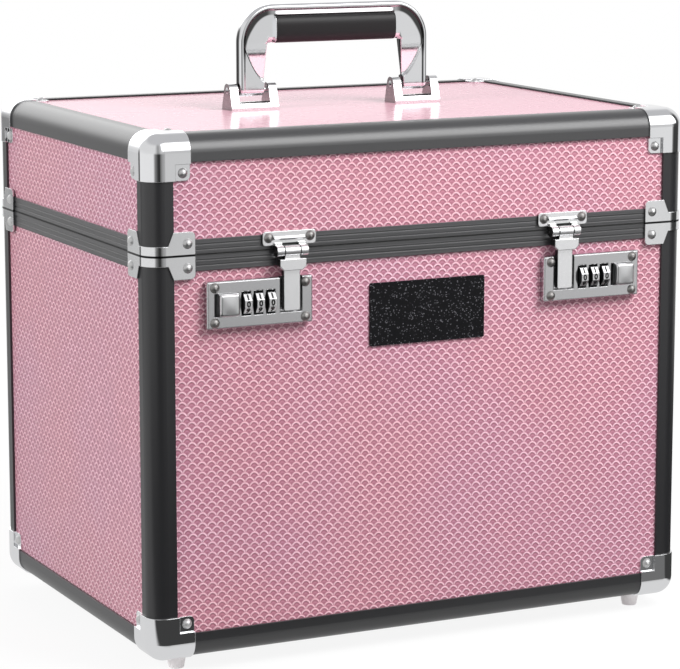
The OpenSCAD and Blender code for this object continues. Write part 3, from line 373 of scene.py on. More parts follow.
def bracket_zinc():
    """Polished and chromed in front; the cheeks' outer sides are painted dark pinkish grey, a
    painted reflection of the pink laminate.
    """
    f = Finish("bracket_zinc", Metallic=1.0)
    cheek = f.sideways(0.6, 0.9)
    # painted reflection: dark pinkish grey on the cheeks' sides
    painted_side_dark = f.blend(f.noise(0.25, 3.0), (0.30, 0.26, 0.27), (0.46, 0.41, 0.42))
    f.feed("Base Color", f.blend(cheek, (0.93, 0.93, 0.94), painted_side_dark))
    f.feed("Roughness", 0.06 + cheek * 0.12)
    f.feed("Normal", f.eased(0.4))


def strap_steel():
    """Bright sheet with a painted shade line where lid and base meet, wider than the real gap."""
    f = Finish("strap_steel", Metallic=1.0)
    smear = f.noise(0.10, 4.0, 0.6)
    bright = f.blend(smear, (0.78, 0.79, 0.80), (0.88, 0.88, 0.89))
    # painted shade in the gap between lid and base
    f.feed("Base Color", f.blend(closing_line(f, 0.50, 0.80), bright, (0.01, 0.01, 0.01)))
    f.feed("Roughness", 0.09 + smear * 0.06)
    f.feed("Normal", f.eased(0.5))


for make in (chrome_steel, bail_chrome, bracket_zinc, strap_steel):
    make()
print(len(finishes), "finishes with the chrome")

# %% [markdown]
# The hasps are bright rolled sheet. Where the middle knuckle turns between the plate's two outer
# ones there are thin dark lines of painted shade in the gaps, found by their distance from the
# hasp's middle and from its pin.
# The lock plates are brushed nickel, the rivets darker steel; those of the corners are painted
# paler, a painted reflection of the bright room.

# %% Make the small steel parts
HASP_X = abs(sum(corner[0] for corner in mm(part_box("hasp_left")))) / 2
HASP_Z = sum(corner[2] for corner in mm(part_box("hasp_pins"))) / 2
JOINT_X, JOINT_Z = 5.35, 3.95  # where the joints lie beside and above the middle knuckle
CORNER_RIVETS = 152.0, 158.0  # from here on along x the rivets are those of the corners
STEELS = [
    ("lock_nickel", ((0.03, 0.03, 4.0), 3.0, 0.6), ((0.58, 0.58, 0.59), (0.65, 0.65, 0.66)),
     (0.13, 0.08), 0.003, 0.8),
    ("button_steel", (0.2, 3.0), ((0.84, 0.84, 0.85), (0.90, 0.90, 0.91)), (0.26, 0.08)),
    ("nickel_steel", ((0.12, 0.12, 6.0), 3.0, 0.6), ((0.56, 0.56, 0.565), (0.68, 0.68, 0.685)),
     (0.26, 0.10), 0.006, 0.4),
    ("plain_steel", (0.35, 4.0), ((0.38, 0.39, 0.40), (0.52, 0.53, 0.54)), (0.30, 0.15), 0.0, 0.2)]


def hasp_steel():
    """Polished in front; the sides are painted dark, as painted shade and dark reflection, and
    painted shade lies in the gaps beside and above the middle knuckle."""
    f = Finish("hasp_steel", Metallic=0.88)
    cloud = f.noise(0.3, 3.0)
    bright = f.blend(cloud, (0.88, 0.88, 0.89), (0.95, 0.95, 0.96))
    x, _, z = f.axes()
    aside, up = abs(abs(x) - HASP_X), z - HASP_Z
    # painted shade in the gaps above and beside the middle knuckle
    above = (1 - f.step(aside, 4.9, 5.3)) * (1 - f.step(abs(up - JOINT_Z), 0.60, 0.85))
    beside = (1 - f.step(abs(aside - JOINT_X), 0.25, 0.45)) * (1 - f.step(abs(up), 3.6, 4.4))
    # dark sides and gaps: painted shade and dark reflection
    dark = f.maths("MAXIMUM", f.sideways(0.75, 0.95), f.maths("MAXIMUM", above, beside))
    f.feed("Base Color", f.blend(dark, bright, (0.06, 0.06, 0.06)))
    f.feed("Roughness", 0.14 + cloud * 0.08)
    f.feed("Normal", f.eased(0.7))


def rivet_steel():
    f = Finish("rivet_steel", Metallic=1.0)
    spots = f.noise(0.9, 3.0)
    # corner rivets painted paler: a painted reflection of the bright room
    corner = f.step(abs(f.axes()[0]), *CORNER_RIVETS)
    dull = f.blend(spots, (0.34, 0.33, 0.32), (0.46, 0.45, 0.44))
    f.feed("Base Color", f.blend(corner, dull, (0.72, 0.72, 0.72)))
    f.feed("Roughness", 0.42 + spots * 0.08)
    f.feed("Normal", f.eased(0.25))


for row in STEELS:
    grained(*row, Metallic=1.0)
hasp_steel()
rivet_steel()
print(len(finishes), "finishes with the steel")


# %% [markdown]
# ## Plastics, glitter and lining
#
# The grip is satin black, the feet are milky, and the badge is a bare plate of black glitter: small
# cells, each with its own brightness, of which only a few flash. The dials are metal on their ten
# flats and black on their sides, which the direction of the surface tells apart. Light wanders
# inside milky plastic; the feet's faint glow is painted light, standing for that and brightening
# them in the shade under the box.

# %% Make the plastics and the lining
def badge_glitter():
    f = Finish("badge_glitter", Specular_IOR_Level=0.22)
    cells = f.node("ShaderNodeTexVoronoi", {"feature": "F1"},
                   {"Vector": f.stretched((1.5, 1.5, 1.5)), "Scale": 1.0}, 1)
    luck = f.node("ShaderNodeSeparateColor", inputs={0: cells})
    spark = f.step(luck, 0.90, 1.0)
    f.feed("Base Color", f.blend(spark, (0.003, 0.003, 0.004), (0.22, 0.22, 0.24)))
    f.feed("Metallic", spark * 0.8)
    f.feed("Roughness", 0.46 - spark * 0.15)
    f.relief(luck, 0.03, 0.3)


def dial_finish():
    f = Finish("dial_finish")
    side = f.sideways(0.4, 0.6)
    f.feed("Base Color", f.blend(side, (0.84, 0.84, 0.85), (0.004, 0.004, 0.005)))
    f.feed("Metallic", 1 - side)
    f.feed("Roughness", 0.20 + f.noise(1.5) * 0.08 + side * 0.2)
    f.feed("Normal", f.eased(0.3))


def lining_foam():
    f = Finish("lining_foam", Sheen_Weight=0.3, Sheen_Roughness=0.5)
    nap = f.noise(2.5, 4.0, 0.7)
    worn = nap * 0.7 + f.noise(0.03, 2.0) * 0.3
    f.feed("Base Color", f.blend(worn, (0.012, 0.012, 0.013), (0.040, 0.040, 0.043)))
    f.feed("Roughness", 0.86 + nap * 0.1)
    f.relief(nap, 0.25)


for make in (badge_glitter, dial_finish, lining_foam):
    make()
grained("figure_black", (3.0,), ((0.006, 0.006, 0.006), (0.012, 0.012, 0.012)), (0.45, 0.1),
        Specular_IOR_Level=0.3)
grained("grip_plastic", (1.6, 3.0), ((0.007, 0.007, 0.007), (0.013, 0.012, 0.013)), (0.30, 0.10),
        0.015, Specular_IOR_Level=0.4)
# the feet's glow is painted light
grained("foot_plastic", (0.25, 2.0), ((0.94, 0.91, 0.91), (0.97, 0.95, 0.95)), (0.34, 0.1),
        0.0, 0.6, Emission_Color=(1.0, 0.93, 0.94), Emission_Strength=0.28)
grained("tray_plastic", (1.1, 3.0, 0.6), ((0.020, 0.020, 0.021), (0.034, 0.034, 0.036)),
        (0.46, 0.14), 0.06, 0.5)
grained("bottom_board", (0.8, 4.0, 0.6), ((0.010, 0.010, 0.011), (0.024, 0.024, 0.025)),
        (0.5, 0.2), 0.12)
print(len(finishes), "finishes with the plastics")

# %% [markdown]
# ## Dressing the solids
#
# The CAD record names a material slot for each solid, and most finishes have that slot's name. A few
# solids look different from the others of their slot, so they are listed with a finish of their own.

# %% Give every solid its finish
finishes["dial_plastic"] = finishes["dial_finish"]
own_finish = {
    "post_aluminium": ["base_corner_posts", "lid_corner_posts"],
    "bottom_aluminium": ["base_bottom_edges"],
    "rail_aluminium": ["base_closing_rails", "lid_closing_rails"],
    "bracket_zinc": ["handle_brackets"],
    "strap_steel": ["base_corner_brackets", "lid_corner_brackets"],
    "hasp_steel": ["hasp_plates", "hasp_pins", "hasp_left", "hasp_right"],
    "lock_nickel": ["lock_plate_left", "lock_plate_right"],
    "button_steel": ["button_left", "button_right"]}
chosen = {part["node"]: part["material_slot"] for part in frame["record"]["subparts"]}
chosen.update({node: finish for finish, owners in own_finish.items() for node in owners})
for node, finish in chosen.items():
    mesh = nodes[node].data
    mesh.materials.clear()
    mesh.materials.append(finishes[finish])
print(len(finishes), "finishes on", len(chosen), "solids")

# %% [markdown]
# ## Surfaces from arrays
#
# A new piece is a grid of points: one direction runs along the piece, the other round it. numpy
# works all points out at once, and the faces are the grid's own squares.


# %% Turn a grid of points into a piece
def mesh_piece(name, points, faces, finish):
    """An object from points in millimetres and faces, with one finish."""
    mesh = bpy.data.meshes.new(name)
    mesh.from_pydata((points * MM).tolist(), [], faces.tolist())
    mesh.materials.append(finish)
    piece = bpy.data.objects.new(name, mesh)
    bpy.context.scene.collection.objects.link(piece)
    return piece


def grid_faces(along, around, closed_round):
    """The grid's squares by their points' numbers; closed_round joins the last to the first."""
    index = np.arange(along * around).reshape(along, around)
    low, high = index[:-1], index[1:]
    if closed_round:
        low, high = (np.concatenate([a, a[:, :1]], 1) for a in (low, high))
    return np.stack([low[:, :-1], low[:, 1:], high[:, 1:], high[:, :-1]], -1).reshape(-1, 4)


def grid_piece(name, points, finish, body, closed_round=True, replaced=(), groove=None):
    """A smooth piece from points[along, round, xyz] in millimetres. The sign of the enclosed volume
    tells whether the faces look outwards. groove is a share for each point, which the finish can
    read."""
    faces = grid_faces(*points.shape[:2], closed_round)
    flat = points.reshape(-1, 3)
    a, b, c, d = (flat[faces[:, k]] for k in range(4))
    volume = (np.cross(b - a, c - a) * a + np.cross(c - a, d - a) * a).sum()
    piece = mesh_piece(name, flat, faces if volume > 0 else faces[:, ::-1], finish)
    mesh = piece.data
    mesh.validate()
    mesh.shade_smooth()
    if groove is not None:
        mesh.attributes.new("groove", "FLOAT", "POINT").data.foreach_set("value", groove.ravel())
    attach(piece, body)
    if replaced:
        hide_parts(*replaced)
    print(name, len(mesh.vertices), "points")
    return piece


def fuller(value, power):
    """value to a power, with its sign kept. A power below 1 makes a circle's sine and cosine those
    of a superellipse, a soft rectangle."""
    return np.sign(value) * np.abs(value) ** power


def soft_rectangle(count, power):
    """Both coordinates of count points round a superellipse that reaches from -1 to 1."""
    angle = np.linspace(0, 2 * np.pi, count, endpoint=False)
    return fuller(np.cos(angle), power), fuller(np.sin(angle), power)


def smooth(value, low, high):
    """0 below low, 1 above high, and a smooth rise between, for arrays."""
    t = np.clip((value - low) / (high - low), 0, 1)
    return t * t * (3 - 2 * t)


# %% [markdown]
# ## The seam of the top panel
#
# The top panel is pushed into the edges from inside, and the joint shows as a thin black line of
# shade. A black bead paints that shade: one small section, carried round the opening with mitred
# corners.

# %% Lay the bead
EDGE_W = 16.8  # width of the top edges, seen from above
BEAD, OFF_EDGE, SUNK = 0.9, 0.05, 0.1  # the bead's width, its gap to the edge, how far it is sunk


def seam_points():
    """The section is half a soft ellipse that stands on the panel, and each of its points runs round
    the opening at its own distance from the edge."""
    edge_top = mm(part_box("lid_top_edges"))[1]
    foot, top = mm(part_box("lid_top_panel"))[1][2] - SUNK, edge_top[2] - SUNK
    angle = np.linspace(0, np.pi, 13)
    across = 0.5 - 0.5 * fuller(np.cos(angle), 0.6)
    away = np.concatenate([[0.5], across, [0.5]]) * BEAD + OFF_EDGE
    up = np.concatenate([[0], fuller(np.sin(angle), 0.6), [0]]) * (top - foot) + foot
    corner = np.array([[-1, -1], [1, -1], [1, 1], [-1, 1]])
    level = corner[None] * (edge_top[:2] - EDGE_W - away[:, None, None])
    return np.concatenate([level, np.broadcast_to(up[:, None, None], (len(up), 4, 1))], -1)


# a black bead where the joint only shows shade: painted shade
seam = grid_piece("top_seam_shade", seam_points(), finishes["figure_black"], "lid")
seam.data.set_sharp_from_angle(angle=math.radians(40))

# %% [markdown]
# ## The handle
#
# The bail is a chromed casting: two broad legs that turn into a thin bar over the grip, with a
# raised rim along the outer edge and a shallow dished face inside it. An extruded plate would look
# stamped, so the section is carried along the bail instead. At each station it is a rounded
# rectangle between an outer and an inner point, and its faces sink inside the rim.

# %% Measure the handle
pivot_z = sum(corner[2] for corner in mm(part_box("handle_pins"))) / 2
bail_low, bail_high = mm(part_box("handle_bail"))
grip_low, grip_high = mm(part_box("handle_grip"))
HALF, TOP, CORNER = bail_high[0], bail_high[2] - pivot_z, 25.0  # half width, height, corner radius
MIDDLE, THICK = (bail_high[1] + bail_low[1]) / 2, 4.0  # the bail's plane and half thickness
GRIP_END = grip_high[0] + 0.1
BAR_LOW, SHOULDER = grip_high[2] - pivot_z, grip_low[2] - pivot_z  # over and under the grip
LEG_W, LEG_LEAN = 19.4, 1.1  # a leg's width, and how far its inner edge leans
LEG_IN = HALF - LEG_W
RIM, LEDGE, DISH = 4.6, 0.4, 3.0  # the rim's width, and how deep the face and the hollow lie
print("bail", round(2 * HALF, 1), "mm wide,", round(TOP, 1), "mm above its pins")


# %% Stations along the bail
def bail_stations():
    """Outer point, inner point and half thickness from the right foot to the middle of the bar.
    The foot rounds like a barrel, the leg is straight, the corner is a quarter circle outside and
    a shoulder inside, and the bar is straight."""
    foot = np.radians(np.linspace(-90, -3, 14))
    tuck = 1.8 * (1 - np.cos(foot))
    leg = np.linspace(0, SHOULDER, 60)
    turn = np.linspace(0, 1, 30)[1:]
    bar = np.linspace(GRIP_END - 0.4, 0, 18)[1:]
    angle = turn * np.pi / 2
    lean = LEG_IN + LEG_LEAN * (1 - 2 * leg / SHOULDER)
    outer_x = np.concatenate([HALF - tuck, np.full_like(leg, HALF),
                              HALF - CORNER + CORNER * np.cos(angle), bar])
    outer_z = np.concatenate([THICK * np.sin(foot), leg, TOP - CORNER + CORNER * np.sin(angle),
                              np.full_like(bar, TOP)])
    inner_x = np.concatenate([LEG_IN + LEG_LEAN + tuck, lean,
                              np.interp(turn, [0, 0.16, 1], [lean[-1], GRIP_END, GRIP_END]), bar])
    inner_z = np.concatenate([THICK * np.sin(foot), leg,
                              np.interp(turn, [0, 0.10, 1], [SHOULDER, SHOULDER + 0.3, BAR_LOW]),
                              np.full_like(bar, BAR_LOW)])
    half = np.concatenate([THICK * np.cos(foot), np.full(len(leg) + len(turn) + len(bar), THICK)])
    return np.stack([outer_x, outer_z, inner_x, inner_z, half], 1)


# %% How far the bail's faces sink
STEP_Z, STEP_CLIMB, STEP_BEND = 5.5, 21.0, 1.7  # the hollow's lower edge, and its climb to the rim
DRAFT, DRAFT_Z, SHALLOW = 0.104, 8.0, 0.6  # the hollow loses depth with height, down to SHALLOW
BAR_LEAN = 0.9  # how far the bar's face leans back
SHOULDER_R, SHOULDER_T = 5.0, 0.6  # the shoulder's radius and half thickness underneath


def bail_sink(x, z, q, width):
    """Depth under the full thickness at a place whose distance from the outer edge is q. On the legs
    the face lies LEDGE deep. Above a line that climbs from the inner edge to the rim it steps back
    into the hollow, which is DISH deep low down and shallower above, as a casting's draft makes it.
    The bar's face leans back a little. The shoulder that holds the grip is round underneath."""
    outward = np.clip((np.abs(x) - LEG_IN) / (LEG_W - RIM), 0, 1)
    stepped = smooth(z - (STEP_Z + STEP_CLIMB * outward ** STEP_BEND), -0.6, 0.6)
    inside = smooth(q, RIM * 0.72, RIM * 1.02)
    hollow = np.clip(DISH - DRAFT * (z - DRAFT_Z), SHALLOW, DISH)
    leg = smooth(np.abs(x), GRIP_END - 0.8, GRIP_END + 0.6)
    bar = BAR_LEAN * np.clip((width - q) / (width - RIM), 0, 1)
    sink = inside * (leg * (LEDGE + (hollow - LEDGE) * stepped) + (1 - leg) * bar)
    rise = np.clip((z - SHOULDER) / SHOULDER_R, 0, 1)
    inner = (z > SHOULDER - 0.1) * leg * (1 - smooth(np.abs(x), LEG_IN - 2.4, LEG_IN - 1.0))
    return sink + inner * (THICK - SHOULDER_T) * (1 - np.sqrt(1 - (1 - rise) ** 2))


def bail_groove(x, z, q):
    """Share of painted dark reflection in the groove beside the rim: a band of q that starts above
    the legs' low ends, widens with height, and is half as dark near the grip."""
    reach = 1.25 + 0.6 * smooth(z, 26.0, 42.0)
    band = smooth(q / RIM, 0.58, 0.72) * (1 - smooth(q / RIM, reach - 0.3, reach))
    dark = np.clip(band * smooth(z, 17.0, 27.0) * 1.1, 0, 1)
    return dark * (0.5 + 0.5 * smooth(np.abs(x), GRIP_END + 1, GRIP_END + 6))


# %% Carry the section along the bail
def bail_points():
    """Half sections from the outer to the inner point, mirrored to the back. The rim is a quarter
    ellipse that turns over into the face, and the inner edge is rounded. Gives the points and the
    groove's share for each."""
    right = bail_stations()
    left = right[::-1] * np.array([-1, 1, -1, 1, 1])
    ox, oz, ix, iz, half = np.concatenate([right, left[1:]]).T[:, :, None]
    width = np.hypot(ix - ox, iz - oz)
    ease = np.minimum(0.5, 0.6 * half)
    over = np.linspace(0, np.pi / 2, 12)[None]
    flat = np.linspace(0, 1, 64)[None, 1:-1]
    drop = np.linspace(0, np.pi / 2, 6)[None]
    q = np.concatenate([RIM / 2 * (1 - np.cos(over)) + 0 * width,
                        RIM / 2 + (width - RIM / 2 - ease) * flat,
                        width - ease * (1 - np.sin(drop))], 1)
    x = ox + (ix - ox) * q / width
    z = oz + (iz - oz) * q / width
    steep = np.concatenate([np.sin(over), 1 + 0 * flat, 1 + 0 * drop], 1)
    round_in = np.concatenate([0 * over + 0 * width, 0 * flat + 0 * width,
                               ease * (1 - np.cos(drop))], 1)
    deep = half * steep - bail_sink(x, z, q, width) * (half / THICK) - round_in
    front = np.stack([x, -np.maximum(deep, 0), z + pivot_z], -1)
    back = front[:, ::-1] * np.array([1, -1, 1])
    dark = bail_groove(x, z, q)
    return (np.concatenate([front, back[:, :-1]], 1) + np.array([0, MIDDLE, 0]),
            np.concatenate([dark, dark[:, ::-1][:, :-1]], 1))


bail_grid, bail_dark = bail_points()
grid_piece("bail", bail_grid, finishes["bail_chrome"], "handle",
           replaced=["handle_bail"], groove=bail_dark)

# %% [markdown]
# The grip is a moulded sleeve: its section is a soft rectangle (a superellipse), a little fuller in
# the middle of its length. At both ends a short chromed collar narrows from the grip to the bail.

# %% Mould the grip
grip_half, grip_middle = (grip_high - grip_low) / 2, (grip_high + grip_low) / 2
SLIM, BELLY = 1.6, 0.35  # the sleeve is flatter than its solid, and fuller by BELLY in the middle
END_R, SHUT = 0.5, 99  # radius of the ends; an inset of SHUT closes a section on the axis


def grip_points():
    """Superellipse sections along x. Near both ends they shrink on a quarter circle, and the last
    one closes on the axis."""
    half = grip_half
    end = np.linspace(0, np.pi / 2, 7)
    straight = np.linspace(-half[0] + 4, half[0] - 4, 24)
    along = np.concatenate([[-half[0]], -half[0] + END_R * (1 - np.cos(end)), straight,
                            half[0] - END_R * (1 - np.cos(end[::-1])), [half[0]]])
    inset = np.concatenate([[SHUT], END_R * (1 - np.sin(end)), 0 * straight,
                            END_R * (1 - np.sin(end[::-1])), [SHUT]])
    belly = BELLY * np.cos(along / half[0] * np.pi / 2)
    ring_y, ring_z = soft_rectangle(64, 2 / 3.2)
    deep = np.maximum(half[1] - SLIM + belly - inset, 0)[:, None]
    tall = np.maximum(half[2] - inset, 0)[:, None]
    return np.stack([grip_middle[0] + along[:, None] + 0 * ring_y[None],
                     grip_middle[1] + deep * ring_y, grip_middle[2] + tall * ring_z], -1)


def socket_points(way):
    """A collar: the grip's section at the grip's end and a thinner one a little further out, with a
    steep bevel between; both ends close on the axis."""
    ring_y, ring_z = soft_rectangle(96, 2 / 3.4)
    deep = np.array([0, grip_half[1] - SLIM, THICK - 0.8, 0])[:, None]
    tall = np.array([0, grip_half[2] - 0.1, grip_half[2] - 0.6, 0])[:, None]
    x = way * (GRIP_END + np.array([0, 0, 1.7, 1.7]))[:, None] + 0 * ring_y
    return np.stack([x, grip_middle[1] + deep * ring_y, grip_middle[2] + tall * ring_z], -1)


grid_piece("grip", grip_points(), finishes["grip_plastic"], "handle",
           replaced=["handle_grip"])
for name, way in (("socket_left", -1), ("socket_right", 1)):
    socket = grid_piece(name, socket_points(way), finishes["chrome_steel"], "handle")
    socket.data.set_sharp_from_angle(angle=math.radians(30))

# %% [markdown]
# ## The lock buttons
#
# A finger presses the button sideways, so its front is a smooth pillow: straight sides, a round edge
# and a slightly domed face. Rings of one soft rectangle, smaller and further out from ring to ring,
# give that form. The pillow caps the solid button, which guides it in its slot. Behind the free end
# of each slot lies a dark liner, which is all that shows of the lock's inside.

# %% Press the pillows and lay the liners
EDGE, DOME = 1.5, 0.3  # radius of the round edge, height of the dome
PILLOW_W, PILLOW_H, PROUD = 13.2, 6.95, 1.2  # width, half height, and how far it stands out
SLOT_X, SLOT_H = (14.2, 31.4), 8.0  # the slot from the plate's middle, and half the liner's height


def button_points(low, high, front):
    """Rings about the y axis: shut at the back, straight, round on a quarter circle, then a dome.
    Each ring is a superellipse of the button's width and height."""
    half, middle = (high - low) / 2, (low + high) / 2
    bend = np.linspace(0, np.pi / 2, 10)
    inset = np.concatenate([[SHUT, 0], EDGE * (1 - np.cos(bend)), np.full(11, EDGE)])
    shrink = np.concatenate([np.ones(12), np.linspace(1, 0, 12)[1:]])
    depth = np.concatenate([[high[1], high[1]], front + EDGE * (1 - np.sin(bend)),
                            np.full(11, front)])
    ring_x, ring_z = soft_rectangle(72, 2 / 10)
    wide = (np.maximum(half[0] - inset, 0) * shrink)[:, None] * ring_x
    tall = (np.maximum(half[2] - inset, 0) * shrink)[:, None] * ring_z
    u, v = wide / (half[0] - EDGE), tall / (half[2] - EDGE)
    dome = DOME * np.clip(1 - u * u, 0, 1) * np.clip(1 - v * v, 0, 1) * (shrink < 1)[:, None]
    return np.stack([middle[0] + wide, depth[:, None] - dome, middle[2] + tall], -1)


def lock_button(side):
    """The pillow caps the front of the solid button and reaches a little into its slot. The liner
    lies behind the slot."""
    low, high = mm(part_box("button_" + side))
    plate = mm(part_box("lock_plate_" + side))
    centre = (plate[0] + plate[1]) / 2
    way = 1 if side == "right" else -1
    outer = high[0] if way > 0 else low[0]
    wide = sorted([outer + way * 0.1, outer - way * PILLOW_W])
    front, back = low[1] - PROUD, plate[0][1] + 1.0
    box = (np.array([wide[0], front, centre[2] - PILLOW_H]),
           np.array([wide[1], back, centre[2] + PILLOW_H]))
    grid_piece("pillow_" + side, button_points(*box, front), finishes["button_steel"],
               "button_" + side)
    across = np.sort(centre[0] + way * np.array(SLOT_X))
    x, z = np.meshgrid(across, centre[2] + np.array([-SLOT_H, SLOT_H]), indexing="ij")
    sheet = np.stack([x, 0 * x + plate[1][1] - 0.2, z], -1)
    grid_piece("liner_" + side, np.concatenate([sheet, sheet[::-1] + [0, 0.1, 0]]),
               finishes["plain_steel"], "base", closed_round=False)


for side in ("left", "right"):
    lock_button(side)

# %% [markdown]
# ## The dials' figures
#
# Each dial has ten flats with a figure from 0 to 9. The figures are text, made a mesh and laid on
# their flats: the text's plane is turned about the dial's axle, a tenth of a turn for each figure.

# %% Print the figures on the flats
FIGURE_H, FIGURE_T, FIGURE_BOLD = 5.0, 0.04, 0.26  # size, thickness, and how much bolder than plain


def figure_mesh(digit):
    """Outline of one figure as points and triangles, about its own middle, in millimetres."""
    curve = bpy.data.curves.new("figure", "FONT")
    curve.body, curve.size = str(digit), FIGURE_H
    curve.extrude, curve.offset = FIGURE_T, FIGURE_BOLD
    curve.align_x, curve.resolution_u = "CENTER", 3
    text = bpy.data.objects.new("figure", curve)
    mesh = text.to_mesh()
    mesh.calc_loop_triangles()
    points = np.array([v.co for v in mesh.vertices])
    faces = np.array([t.vertices for t in mesh.loop_triangles])
    text.to_mesh_clear()
    bpy.data.objects.remove(text)
    return points - (points.max(0) + points.min(0)) / 2, faces


figures = [figure_mesh(digit) for digit in range(10)]


def dial_figures(name):
    """All ten figures of a dial as one mesh, each turned about the axle by 36 degrees more."""
    low, high = mm(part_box(name))
    middle = (low + high) / 2
    out = (high[1] - low[1]) / 2
    points, faces, first = [], [], 0
    for digit, (shape, triangles) in enumerate(figures):
        turn = np.radians(36.0 * digit)
        away = out + shape[:, 2]
        y = -away * np.cos(turn) + shape[:, 1] * np.sin(turn)
        z = away * np.sin(turn) + shape[:, 1] * np.cos(turn)
        points.append(middle + np.stack([shape[:, 0], y, z], 1))
        faces.append(triangles + first)
        first += len(shape)
    piece = mesh_piece(name + "_figures", np.concatenate(points), np.concatenate(faces),
                       finishes["figure_black"])
    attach(piece, name)
    print(piece.name, first, "points")


for name in [n for n in nodes if n.startswith("dial_") and n != "dial_axles"]:
    dial_figures(name)

# %% [markdown]
# ## Room and light
#
# The box stands in a white studio. Metal shows its room, so the room has to have something to show:
# the camera sees plain white, but for reflections there are dark bands round the horizon, as black
# cards beside a product give, and two bright cards higher up. The soft lamps aren't mirrored, and
# light the pink at a plain level.

# %% Build the room
# Place round the horizon in turns (half a turn is straight in front of the box), and brightness
LOW_BANDS = [
    (0.00, 0.95), (0.046, 0.85), (0.050, 0.25), (0.056, 0.25), (0.060, 0.75), (0.078, 0.55),
    (0.086, 0.06), (0.104, 0.06), (0.118, 0.85), (0.375, 0.83), (0.40, 0.25), (0.445, 0.05),
    (0.475, 0.02), (0.49, 0.17), (0.52, 0.35), (0.55, 0.52), (0.575, 0.72), (0.605, 0.85),
    (0.63, 0.05), (0.73, 0.05), (0.76, 0.80), (1.00, 0.95)]
LEVEL_BANDS = [
    (0.00, 0.95), (0.06, 0.90), (0.12, 0.75), (0.40, 0.75), (0.45, 0.30), (0.50, 0.60),
    (0.54, 0.55), (0.605, 0.55), (0.635, 0.06), (0.74, 0.06), (0.79, 0.75), (0.90, 0.90),
    (1.00, 0.95)]
# Middle and half width in turns, lower and upper end as z of the direction, brightness
CARDS = [(0.60, 0.08, 0.22, 0.76, 3.4), (0.00, 0.07, 0.16, 0.66, 2.3)]
CEILING, SOFT_LIGHT, WHITE = (0.55, 0.55, 0.56), (0.27, 0.27, 0.28), (1.0, 1.0, 1.0)


def ray_kinds(r, *kinds):
    """1 or 0 for each kind of ray: whether the ray that asks is of that kind."""
    path = r.node("ShaderNodeLightPath").socket.node
    return [Value(r, path.outputs["Is " + kind + " Ray"]) for kind in kinds]


def studio_world():
    world = bpy.data.worlds.new("studio")
    world.use_nodes = True
    bpy.context.scene.world = world
    r = Recipe(world.node_tree)
    camera_ray, glossy, glass = ray_kinds(r, "Camera", "Glossy", "Transmission")
    x, y, z = r.split(r.node("ShaderNodeTexCoord"))
    round_way = r.maths("ARCTAN2", x, -y) / math.tau + 0.5

    def bands(stops):
        return r.node("ShaderNodeValToRGB", {"stops": [(at, (k, k, k)) for at, k in stops]},
                      {0: round_way})

    def card(middle, half, low, high):
        """1 on a soft-edged card."""
        away = abs((round_way + (0.5 - middle)) % 1.0 - 0.5)
        wide = 1 - r.step(away, half - 0.02, half + 0.02)
        return wide * r.step(z, low - 0.11, low + 0.11) * (1 - r.step(z, high - 0.06, high + 0.06))

    mirrored = r.blend(r.step(z, -0.06, 0.16), bands(LOW_BANDS), bands(LEVEL_BANDS))
    mirrored = r.blend(r.step(z, 0.60, 0.84), mirrored, CEILING)
    for *place, bright in CARDS:
        mirrored = r.blend(card(*place), mirrored, (bright, bright, bright))
    colour = r.blend(glossy, SOFT_LIGHT, mirrored)
    colour = r.blend(r.maths("MAXIMUM", camera_ray, glass), colour, WHITE)
    sky = r.node("ShaderNodeBackground", inputs={0: colour, 1: 1.0})
    r.node("ShaderNodeOutputWorld", inputs={0: sky})


bpy.context.scene.view_settings.view_transform = "Standard"
studio_world()
print("room with", len(CARDS), "cards")

# %% Hang the lamps
LAMPS = {  # place and aim in metres, size in metres, power in watts
    "top_lamp": ((0.5, -0.5, 2.1), (0, 0, 0.2), 1.6, 9),
    "front_lamp": ((-1.6, -1.9, 1.5), (0, 0, 0.2), 1.4, 2),
    "right_lamp": ((0.55, -0.85, 1.15), (0, 0, 0.3), 0.8, 20.5),
    "left_lamp": ((-2.0, -0.3, 1.2), (0, 0, 0.2), 1.2, 34),
    "back_lamp": ((0.5, 1.8, 0.75), (0, 0, 0.2), 1.2, 22)}


def soft_lamp(name, place, aim, size, power):
    """A round soft box that shiny surfaces don't show."""
    lamp = bpy.data.lights.new(name, "AREA")
    lamp.shape, lamp.size, lamp.energy = "DISK", size, power
    held = bpy.data.objects.new(name, lamp)
    held.visible_glossy = False
    held.location = place
    held.rotation_mode = "QUATERNION"
    held.rotation_quaternion = (Vector(aim) - Vector(place)).to_track_quat("-Z", "Y")
    bpy.context.scene.collection.objects.link(held)


for name, settings in LAMPS.items():
    soft_lamp(name, *settings)
print(len(LAMPS), "lamps")

# %% [markdown]
# The floor is a large pale disc. The camera sees it nearly white with a trace of the box's shadow.
# Shiny surfaces see it dark in front of the box and to its right, as they would a room beyond the
# white sheet, and soft light takes little from it, so that the pink isn't washed out from below.

# %% Lay the floor
NEAR, DEEP_LEFT, DEEP_RIGHT = ((k, k, k) for k in (0.72, 0.05, 0.17))  # what shiny surfaces see
PALE, PALE_SOFT = (0.86, 0.86, 0.86), (0.29, 0.29, 0.29)  # the sheet itself, and for soft light
WHITE_SHARE = 0.90  # how much of what the camera sees is plain white, and not lit
RINGS, SPOKES = 12, 48


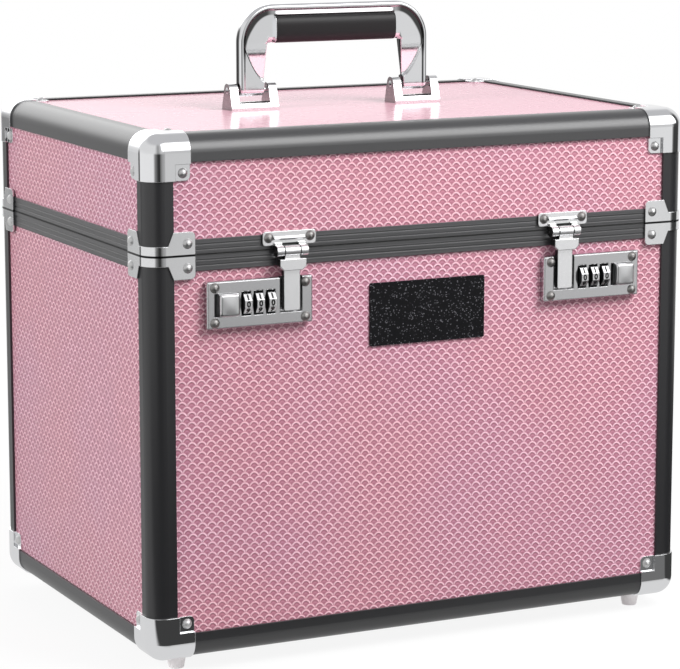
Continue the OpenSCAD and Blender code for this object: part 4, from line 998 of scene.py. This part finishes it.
def floor_finish():
    """Mixes a matt sheet with plain emission: the share is WHITE_SHARE for the camera and 1 for
    reflections. forward is the distance in front of the box's middle, in metres."""
    material = bpy.data.materials.new("floor")
    material.use_nodes = True
    r = Recipe(material.node_tree)
    camera_ray, glossy, soft = ray_kinds(r, "Camera", "Glossy", "Diffuse")
    x, y, _ = r.split(r.node("ShaderNodeTexCoord", output=3))
    forward = -y
    deep = r.blend(r.step(x, -0.05, 0.15), DEEP_LEFT, DEEP_RIGHT)
    aside = r.step(x - 0.185 - (forward - 0.14) * 0.95, 0.0, 0.02) * r.step(x, 0.222, 0.240)
    mirrored = r.blend(r.step(forward, 0.165, 0.195), NEAR, deep)
    mirrored = r.blend(aside, mirrored, DEEP_LEFT)
    matt = r.node("ShaderNodeBsdfDiffuse", inputs={"Color": r.blend(soft, PALE, PALE_SOFT)})
    shown = r.blend(glossy, WHITE, mirrored)
    plain = r.node("ShaderNodeEmission", inputs={"Color": shown, "Strength": 1.0})
    share = r.maths("MAXIMUM", camera_ray * WHITE_SHARE, glossy)
    mixed = r.node("ShaderNodeMixShader", inputs={0: share, 1: matt, 2: plain})
    r.node("ShaderNodeOutputMaterial", inputs={0: mixed})
    return material


def floor_points():
    """Rings of points from the middle outwards, a little under the feet."""
    radius = np.linspace(1, 1100, RINGS)[:, None]
    angle = np.linspace(0, 2 * np.pi, SPOKES, endpoint=False)[None]
    return np.stack([radius * np.cos(angle), radius * np.sin(angle), 0 * radius * angle - 0.2], -1)


floor = mesh_piece("floor", floor_points().reshape(-1, 3),
                   grid_faces(RINGS, SPOKES, True)[:, ::-1], floor_finish())
print("floor", len(floor.data.vertices), "points")

# %% [markdown]
# ## The camera
#
# The camera stands where the photograph's did: found by fitting the box's straight edges, a long
# lens about two metres away, a little to the left and above.

# %% Set up the camera
LENS_MM, SENSOR_MM = 149.81, 36.0
STAND = (-0.8250, -1.6923, 0.5173)
AZIMUTH, ELEVATION = math.radians(-26.0912), math.radians(10.1634)

lens = bpy.data.cameras.new("camera")
lens.lens, lens.sensor_width, lens.sensor_fit = LENS_MM, SENSOR_MM, "HORIZONTAL"
camera = bpy.data.objects.new("camera", lens)
bpy.context.scene.collection.objects.link(camera)
camera.location = STAND
ahead = Vector((-math.sin(AZIMUTH) * math.cos(ELEVATION), math.cos(AZIMUTH) * math.cos(ELEVATION),
                -math.sin(ELEVATION)))
camera.rotation_mode = "QUATERNION"
camera.rotation_quaternion = ahead.to_track_quat("-Z", "Y")
bpy.context.scene.camera = camera
print("camera", round(camera.location.length, 2), "m from the middle of the floor")
